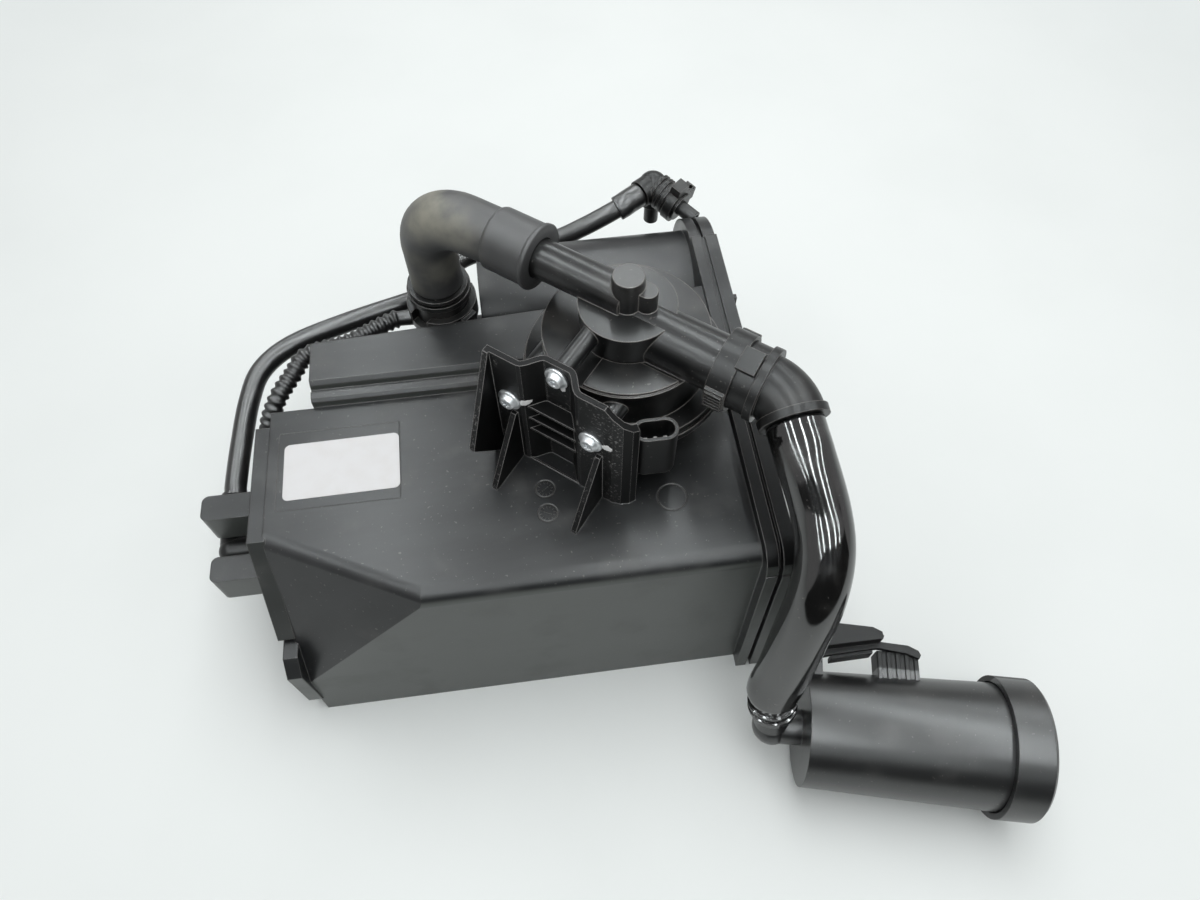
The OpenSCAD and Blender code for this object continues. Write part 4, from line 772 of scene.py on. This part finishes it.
places, faces = [], []
for index, along, above, wide, high_share in DAB_AT:
    centre = SCREW_AT[index] + FACE_ALONG * along + UP * above
    start = len(places)
    ragged = [1 + draw.uniform(-DAB_RAGGED, DAB_RAGGED) for _ in range(DAB_RIM)]
    for lift, share in DAB_LAYERS:
        for k in range(DAB_RIM):
            a = 2 * math.pi * k / DAB_RIM
            reach = wide * share * ragged[k]
            side = reach * math.cos(a)
            rise = reach * high_share * math.sin(a) + DAB_SLANT * side
            spot = on_bracket(centre + FACE_ALONG * side + UP * rise)
            places.append((spot + FACE_OUT * lift) * MM)
    places.append((on_bracket(centre) + FACE_OUT * DAB_CROWN) * MM)
    top = start + (len(DAB_LAYERS) - 1) * DAB_RIM
    for first in range(start, top, DAB_RIM):
        for k in range(DAB_RIM):
            a, b = first + k, first + (k + 1) % DAB_RIM
            faces.append((a, b, b + DAB_RIM, a + DAB_RIM))
    faces += [(top + k, top + (k + 1) % DAB_RIM, top + DAB_RIM) for k in range(DAB_RIM)]
dabs = new_piece("paint_dabs", places, faces, paint_white)
dabs.data.shade_smooth()
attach(dabs, "root")
print("dab faces:", len(faces))

# %% [markdown]
# ## Mould clocks
# The mould leaves two small clocks on the top face: a ring of ticks around an arrow. The tree makes
# one clock from instanced bars and sets it on each point, the second one turned further.

# %% Clock ticks
CLOCK_AT = [(0.0165, -0.02, 0.108), (0.0165, -0.0316, 0.108)]
TICKS, TICK_RING, CLOCK_STEP, CLOCK_START = 12, 2.9 * MM, 2.1, 0.6
TICK_SIZE = (1.0 * MM, 0.3 * MM, 0.2 * MM)
SHAFT_SIZE = (3.6 * MM, 0.4 * MM, 0.2 * MM)
HEAD_RADIUS, HEAD_AT = 0.9 * MM, 1.6 * MM


def clock_tree():
    g, points, ticks, radius, turn, finish = geometry_tree(
        "mould_clocks", "Clocks",
        Points="Geometry", Ticks="Int", Radius="Float", Turn="Float", Finish="Material",
    )
    circle = g.node("GeometryNodeMeshCircle", None, {"Vertices": ticks, "Radius": radius})
    bar = g.node("GeometryNodeMeshCube", None, {"Size": TICK_SIZE})
    outward = g.node("GeometryNodeInputPosition")
    aim = g.node("FunctionNodeAlignRotationToVector", {"axis": "X"}, {"Vector": outward})
    ring = g.node(
        "GeometryNodeInstanceOnPoints", None, {"Points": circle, "Instance": bar, "Rotation": aim}
    )
    shaft = g.node("GeometryNodeMeshCube", None, {"Size": SHAFT_SIZE})
    thick = SHAFT_SIZE[2]
    head = g.node(
        "GeometryNodeMeshCone",
        None,
        {"Vertices": 3, "Radius Top": 0.0, "Radius Bottom": HEAD_RADIUS, "Depth": thick},
    )
    tip = g.node(
        "GeometryNodeTransform", None, {"Geometry": head, "Translation": (HEAD_AT, 0, -thick / 2)}
    )
    clock = g.node("GeometryNodeJoinGeometry", None, {"Geometry": ring})
    for part in (shaft, tip):
        g.feed(clock.socket.node.inputs["Geometry"], part)
    index = g.node("GeometryNodeInputIndex")
    spin = g.node("ShaderNodeCombineXYZ", None, {2: index * turn + CLOCK_START})
    placed = g.node(
        "GeometryNodeInstanceOnPoints",
        None,
        {"Points": points, "Instance": clock, "Rotation": spin},
    )
    return ended(g, placed, finish)


spots = bpy.data.meshes.new("clock_points")
spots.from_pydata(CLOCK_AT, [], [])
clocks = settled(
    "mould_clocks", spots, clock_tree(),
    Ticks=TICKS, Radius=TICK_RING, Turn=CLOCK_STEP, Finish=housing,
)
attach(clocks, "root")
print("clock faces:", len(clocks.data.polygons))

# %% [markdown]
# ## Floor, light and camera
# The object lies on a pale sheet in a light tent. Far from the object the sheet turns plain white,
# but for the camera alone, so that other views show no hard horizon. The sky is white to the camera
# and through glass. To reflections, and as a light, it is half as bright.

# %% Floor and sky
FLOOR_HALF = 3.0
FADE, WHITEN = (0.5, 1.2), (1.2, 2.6)  # distances from the object in metres
SHEET, SHEET_SHADE, SHEET_FAR = (0.83, 0.87, 0.86, 1), (0.8, 0.84, 0.83, 1), (0.84, 0.9, 0.9, 1)
WHITE = (1, 1, 1, 1)
SKY_LIGHT = 0.5


def floor_sheet():
    p = Paint("floor_sheet", 0.2)
    mottle = p.band(p.noise(6, 5), 0.35, 0.75)
    p.dress(p.blend(SHEET, SHEET_SHADE, mottle), 0.7)
    away = p.node("ShaderNodeVectorMath", {"operation": "LENGTH"}, {0: p.place}, out="Value")
    haze = p.blend(SHEET_FAR, WHITE, p.band(away, *WHITEN))
    plain = p.node("ShaderNodeEmission", None, {"Color": haze, "Strength": 1.0})
    seen = p.node("ShaderNodeLightPath", out="Is Camera Ray") * p.band(away, *FADE)
    p.surface(seen, Wire(p, p.shader.outputs[0]), plain)
    return p.material


corners = [(FLOOR_HALF * x, FLOOR_HALF * y, 0) for x, y in ((-1, -1), (1, -1), (1, 1), (-1, 1))]
floor = new_piece("floor", corners, [(0, 1, 2, 3)], floor_sheet())

world = bpy.data.worlds.new("sky")
bpy.context.scene.world = world
world.use_nodes = True
sky = Graph(world.node_tree)
seen = sky.node("ShaderNodeLightPath", out="Is Camera Ray")
seen = seen + sky.node("ShaderNodeLightPath", out="Is Transmission Ray")
background = world.node_tree.nodes["Background"]
background.inputs["Color"].default_value = WHITE
shown = sky.node("ShaderNodeMath", {"operation": "MINIMUM"}, {0: seen, 1: 1.0})
sky.feed(background.inputs["Strength"], shown * (1 - SKY_LIGHT) + SKY_LIGHT)
print("floor and sky ready")

# %% [markdown]
# A soft box above gives the light and the shadow. Five strips run overhead from front to back and
# draw the streaks on the pipes, and the open front of the tent is dark. More lamps would wash the
# shadow out, so the strips and the front are cards that only reflections show.

# %% Lamps and cards
GLOW = (0.93, 0.99, 1, 1)
STRIP_X, STRIP_WIDE, STRIP_HIGH = (-0.45, -0.17, 0.11, 0.39, 0.67), 0.02, 0.6
STRIPS = [("front_strips", -1.0, 0.2, 44.0), ("rear_strips", 0.2, 1.1, 36.0)]  # y from, to, glow
FRONT_Y = -0.45
FRONT_OUTLINE = [(-0.5, 0), (1.1, 0), (1.1, 0.44), (0, 0.44), (-0.5, 0.12)]  # x and z


def soft_box(name, at, target, size, power):
    lamp = bpy.data.lights.new(name, "AREA")
    lamp.shape = "RECTANGLE"
    lamp.size, lamp.size_y = size
    lamp.energy = power
    obj = bpy.data.objects.new(name, lamp)
    obj.location = at
    obj.rotation_euler = (Vector(target) - Vector(at)).to_track_quat("-Z", "Y").to_euler()
    obj.visible_glossy = False
    bpy.context.scene.collection.objects.link(obj)


def card(name, outlines, finish):
    """Flat pieces of the tent that only reflections show."""
    corners = [corner for outline in outlines for corner in outline]
    faces, start = [], 0
    for outline in outlines:
        faces.append(tuple(range(start, start + len(outline))))
        start += len(outline)
    obj = new_piece(name, corners, faces, finish)
    obj.visible_camera = obj.visible_diffuse = obj.visible_shadow = False


def glowing(name, strength):
    p = Paint(name, 0.0)
    p.shader.inputs["Emission Color"].default_value = GLOW
    p.shader.inputs["Emission Strength"].default_value = strength
    return p.dress(grey(0.02), 1.0)


soft_box("ceiling", at=(0.1, 0.2, 1.1), target=(0.1, 0.2, 0.0), size=(0.6, 1.4), power=9.5)
for name, near, far, glow in STRIPS:
    outlines = []
    for x in STRIP_X:
        ends = [(x, near), (x, far), (x + STRIP_WIDE, far), (x + STRIP_WIDE, near)]
        outlines.append([(*end, STRIP_HIGH) for end in ends])
    card(name, outlines, glowing(name, glow))
card("open_front", [[(x, FRONT_Y, z) for x, z in FRONT_OUTLINE]], glowing("gloom", 0.0))
print("strips:", len(STRIPS) * len(STRIP_X))

# %% [markdown]
# The camera stands where the photographer held it, close above the front, with a wide lens. Its
# place was fitted to the edges of the box in the photo, so that both pictures can be compared.

# %% Camera
camera = bpy.data.cameras.new("camera")
camera.sensor_width = 36.0
camera.lens = 26.04
camera.clip_start = 0.01
viewer = bpy.data.objects.new("camera", camera)
viewer.location = (0.0166, -0.1984, 0.4362)
viewer.rotation_euler = (math.radians(30.88), 0, math.radians(-7.55))
bpy.context.scene.collection.objects.link(viewer)
bpy.context.scene.camera = viewer
bpy.context.scene.view_settings.view_transform = "Standard"
print("camera at", tuple(round(v, 3) for v in viewer.location))
